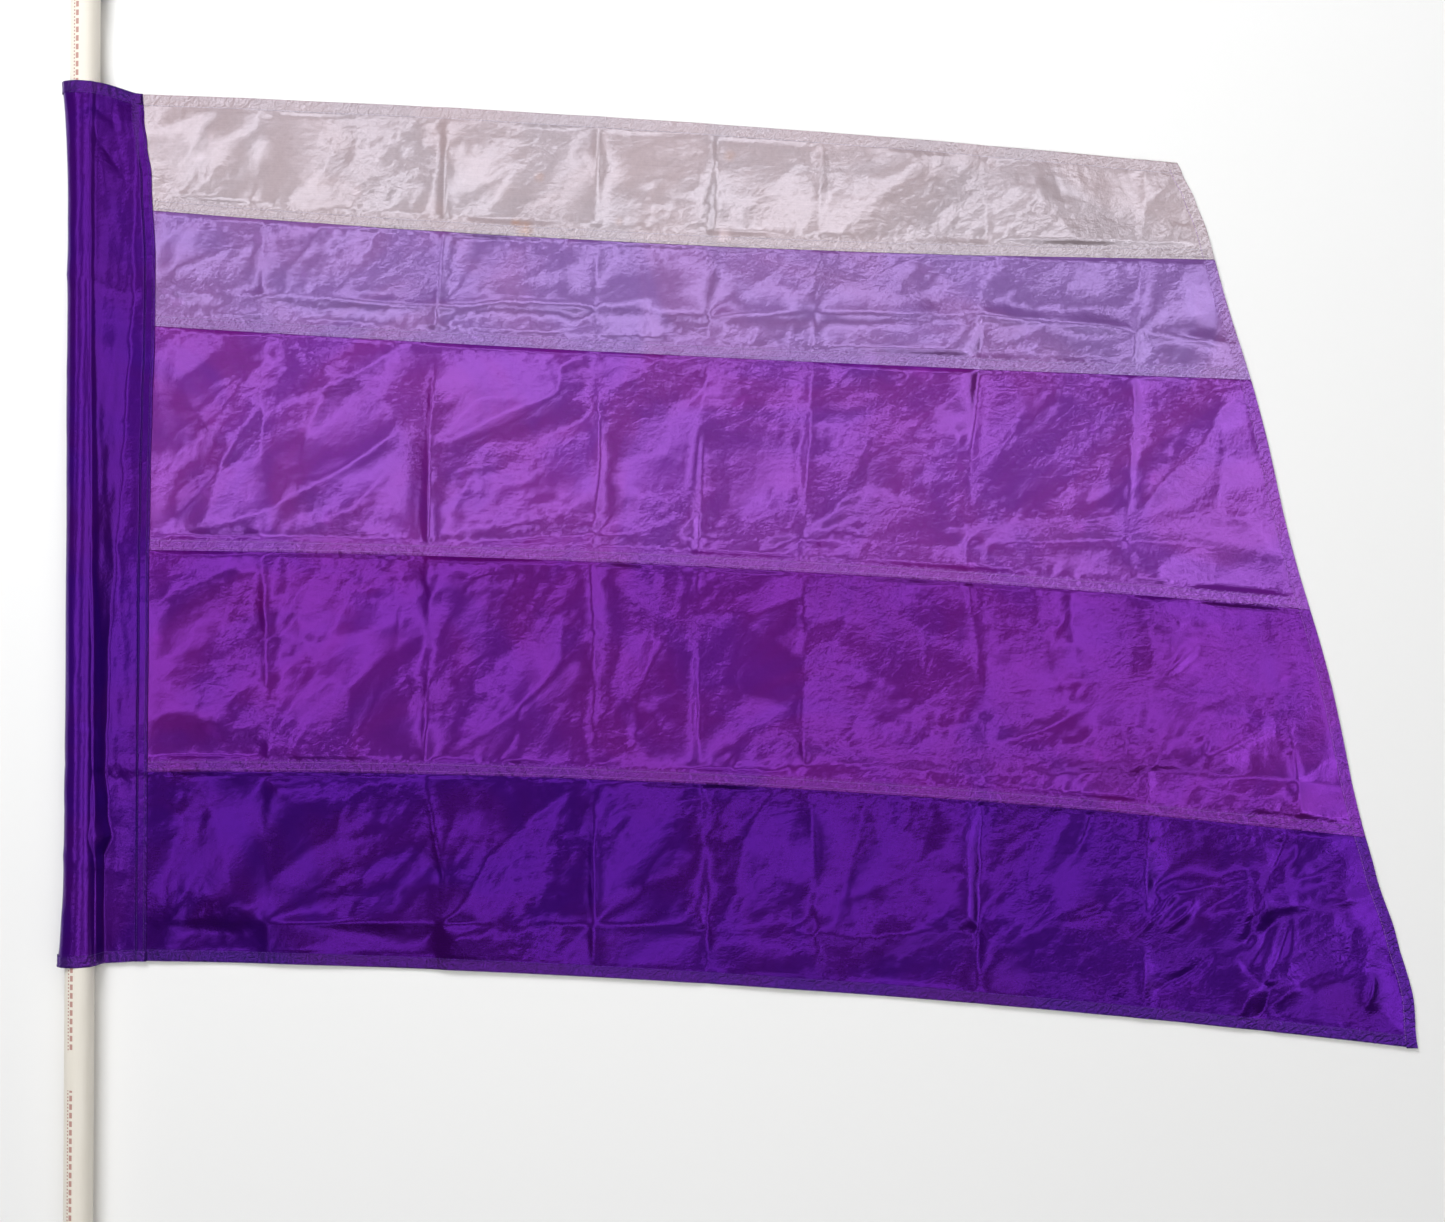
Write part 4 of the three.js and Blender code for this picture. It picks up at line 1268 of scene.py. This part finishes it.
def cloth_material(name, colour, gloss, leaning):
    """Woven filament cloth: dyed colour below, and a gloss that takes the dye's own tint."""
    material, tree, shader = new_material(name)
    place = node_of(tree, "ShaderNodeTexCoord").outputs["Object"]
    weave_at = node_of(tree, "ShaderNodeUVMap", uv_map="cloth").outputs["UV"]
    layers = node_of(tree, "ShaderNodeAttribute", attribute_name="layers").outputs["Fac"]
    tone = dyed_tone(tree, place, weave_at, layers, colour, gloss, leaning)
    if name == "lilac_cloth":
        tone = stained(tree, place, tone)
    tree.links.new(tone, shader.inputs["Base Color"])
    shader.inputs["Roughness"].default_value = CLOTH_ROUGHNESS
    shader.inputs["IOR"].default_value = CLOTH_IOR
    shader.inputs["Specular IOR Level"].default_value = 1.0
    shader.inputs["Specular Tint"].default_value = (*gloss, 1)
    tree.links.new(cloth_bumps(tree, place, weave_at, layers), shader.inputs["Normal"])
    return material


# dyed colour, tint of the gloss, and how far the dye leans
CLOTHS = {
    "lilac": ((0.365, 0.283, 0.298), (0.86, 0.82, 0.92), 0.12),
    "lavender": ((0.165, 0.062, 0.235), (0.64, 0.45, 0.95), 0.4),
    "orchid": ((0.100, 0.003, 0.150), (0.52, 0.19, 0.88), 0.65),
    "purple": ((0.056, 0.0006, 0.092), (0.33, 0.065, 0.66), 0.8),
    "indigo": ((0.015, 0.0003, 0.052), (0.165, 0.022, 0.49), 1.0),
}
SLEEVE_CLOTH = ((0.024, 0.0010, 0.090), (0.18, 0.028, 0.45), 0.7)
for name, piece in stripe_pieces.items():
    piece.data.materials.append(cloth_material(f"{name}_cloth", *CLOTHS[name]))
sleeve.data.materials.append(cloth_material("sleeve_cloth", *SLEEVE_CLOTH))
print("cloths", ", ".join(CLOTHS), "and the sleeve's")

# %% [markdown]
# Sewing thread is two plies wound round each other. A fine slanting wave paints the shade
# between the plies into its colour as darker stripes. A little sheen stands for its fuzz. Each
# row is sewn in the colour of the stripe above it.

# %% Thread


def thread_material(name, colour):
    """Two-ply thread: a diagonal wave between four fifths of its colour and the whole of it, the darker
    part painted shade between the plies.
    """
    material, tree, shader = new_material(name)
    place = node_of(tree, "ShaderNodeTexCoord").outputs["Object"]
    ply_shade = node_of(tree, "ShaderNodeTexWave", bands_direction="DIAGONAL", Scale=900.0)
    tree.links.new(place, ply_shade.inputs["Vector"])
    tone = mix_colour(tree, ply_shade.outputs["Fac"], (*(0.8 * c for c in colour), 1), (*colour, 1))
    tree.links.new(tone, shader.inputs["Base Color"])
    shader.inputs["Roughness"].default_value = 0.5
    shader.inputs["Sheen Weight"].default_value = 0.2
    return material


THREADS = {"lilac_thread": (0.55, 0.47, 0.58), "lavender_thread": (0.36, 0.22, 0.52),
           "orchid_thread": (0.33, 0.13, 0.47), "purple_thread": (0.24, 0.08, 0.38),
           "indigo_thread": (0.05, 0.006, 0.17)}
thread_materials = {slot: thread_material(slot, colour) for slot, colour in THREADS.items()}
for piece in stitch_pieces:
    piece.data.materials.append(thread_materials[piece["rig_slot"]])
print("threads", ", ".join(thread_materials))

# %% [markdown]
# The pole is drawn plastic pipe, cream and half glossy, with faint streaks along it. The caps
# are black vinyl with a fine even mottle. Pipe of this kind carries a line of print on one side.
# It is only dashes and ticks here, made by comparing coordinates: a mark is where the distance
# along the pole, taken in steps, and the distance from the printed line are both small.

# %% Plastic and vinyl


def surface_texture(tree, shader, stretch, scale, tones, roughness, relief_m):
    """Mottles a moulded surface: one noise, stretched, drives its tone, its gloss and a bump.
    Returns the object coordinates and the mottled tone."""
    place = node_of(tree, "ShaderNodeTexCoord").outputs["Object"]
    squeeze = node_of(tree, "ShaderNodeMapping", Scale=stretch)
    tree.links.new(place, squeeze.inputs["Vector"])
    mottle = noise_at(tree, squeeze.outputs["Vector"], Scale=scale, Detail=4.0, Roughness=0.6)
    mottle = mottle.outputs["Fac"]
    tree.links.new(ranged(tree, mottle, (0.3, 0.7), roughness), shader.inputs["Roughness"])
    tree.links.new(bumped(tree, mottle, relief_m), shader.inputs["Normal"])
    return place, mix_colour(tree, mottle, (*tones[0], 1), (*tones[1], 1))


def near(tree, value, target, reach):
    """1 where value lies within reach of target, otherwise 0."""
    node = node_of(tree, "ShaderNodeMath", operation="COMPARE")
    tree.links.new(value, node.inputs[0])
    node.inputs[1].default_value = target
    node.inputs[2].default_value = reach
    return node.outputs[0]


def repeats(tree, value, period):
    """The part of value / period past the whole number below it, from 0 to 1."""
    node = node_of(tree, "ShaderNodeMath", operation="FRACT")
    tree.links.new(times(tree, value, 1 / period), node.inputs[0])
    return node.outputs[0]


CREAM = ((0.74, 0.68, 0.58), (0.83, 0.78, 0.69))
BLACK = ((0.010, 0.010, 0.011), (0.022, 0.022, 0.024))
PRINT_SIDE = 3.5 * MM         # of the line of dashes, left of the pole's top
TICKS_SIDE = 3.2 * MM         # of the line of ticks, left of the dashes
PRINT_RUN = 190 * MM          # from one stretch of print to the next
DASH_STEP = 8.5 * MM
TICK_STEP = 3.4 * MM
PRINT_COLOUR = (0.36, 0.075, 0.06, 1)
INK = 0.7                     # how much of the plastic it hides

material, tree, shader = new_material("pole_plastic")
place, tone = surface_texture(tree, shader, (1, 0.06, 1), 160.0, CREAM, (0.30, 0.42), 0.04 * MM)
split = node_of(tree, "ShaderNodeSeparateXYZ")
tree.links.new(place, split.inputs[0])
side, along, height = split.outputs
upper_half = near(tree, height, AXIS_Z + POLE_R, POLE_R)
stretches = near(tree, repeats(tree, along, PRINT_RUN), 0.5, 0.40)
dashes = near(tree, repeats(tree, along, DASH_STEP), 0.5, 0.33)
ticks = near(tree, repeats(tree, along, TICK_STEP), 0.5, 0.25)
dash_line = near(tree, side, POLE_X - PRINT_SIDE, 1.5 * MM)
tick_line = near(tree, side, POLE_X - PRINT_SIDE - TICKS_SIDE, 0.7 * MM)
printed = node_of(tree, "ShaderNodeMath", operation="MAXIMUM")
tree.links.new(times(tree, dashes, dash_line), printed.inputs[0])
tree.links.new(times(tree, ticks, tick_line), printed.inputs[1])
ink = times(tree, times(tree, times(tree, printed.outputs[0], stretches), upper_half), INK)
tree.links.new(mix_colour(tree, ink, tone, PRINT_COLOUR), shader.inputs["Base Color"])
pole.data.materials.append(material)

material, tree, shader = new_material("cap_vinyl")
_, tone = surface_texture(tree, shader, (1, 1, 1), 700.0, BLACK, (0.42, 0.6), 0.05 * MM)
tree.links.new(tone, shader.inputs["Base Color"])
for piece in caps:
    piece.data.materials.append(material)
print("pole_plastic and cap_vinyl")
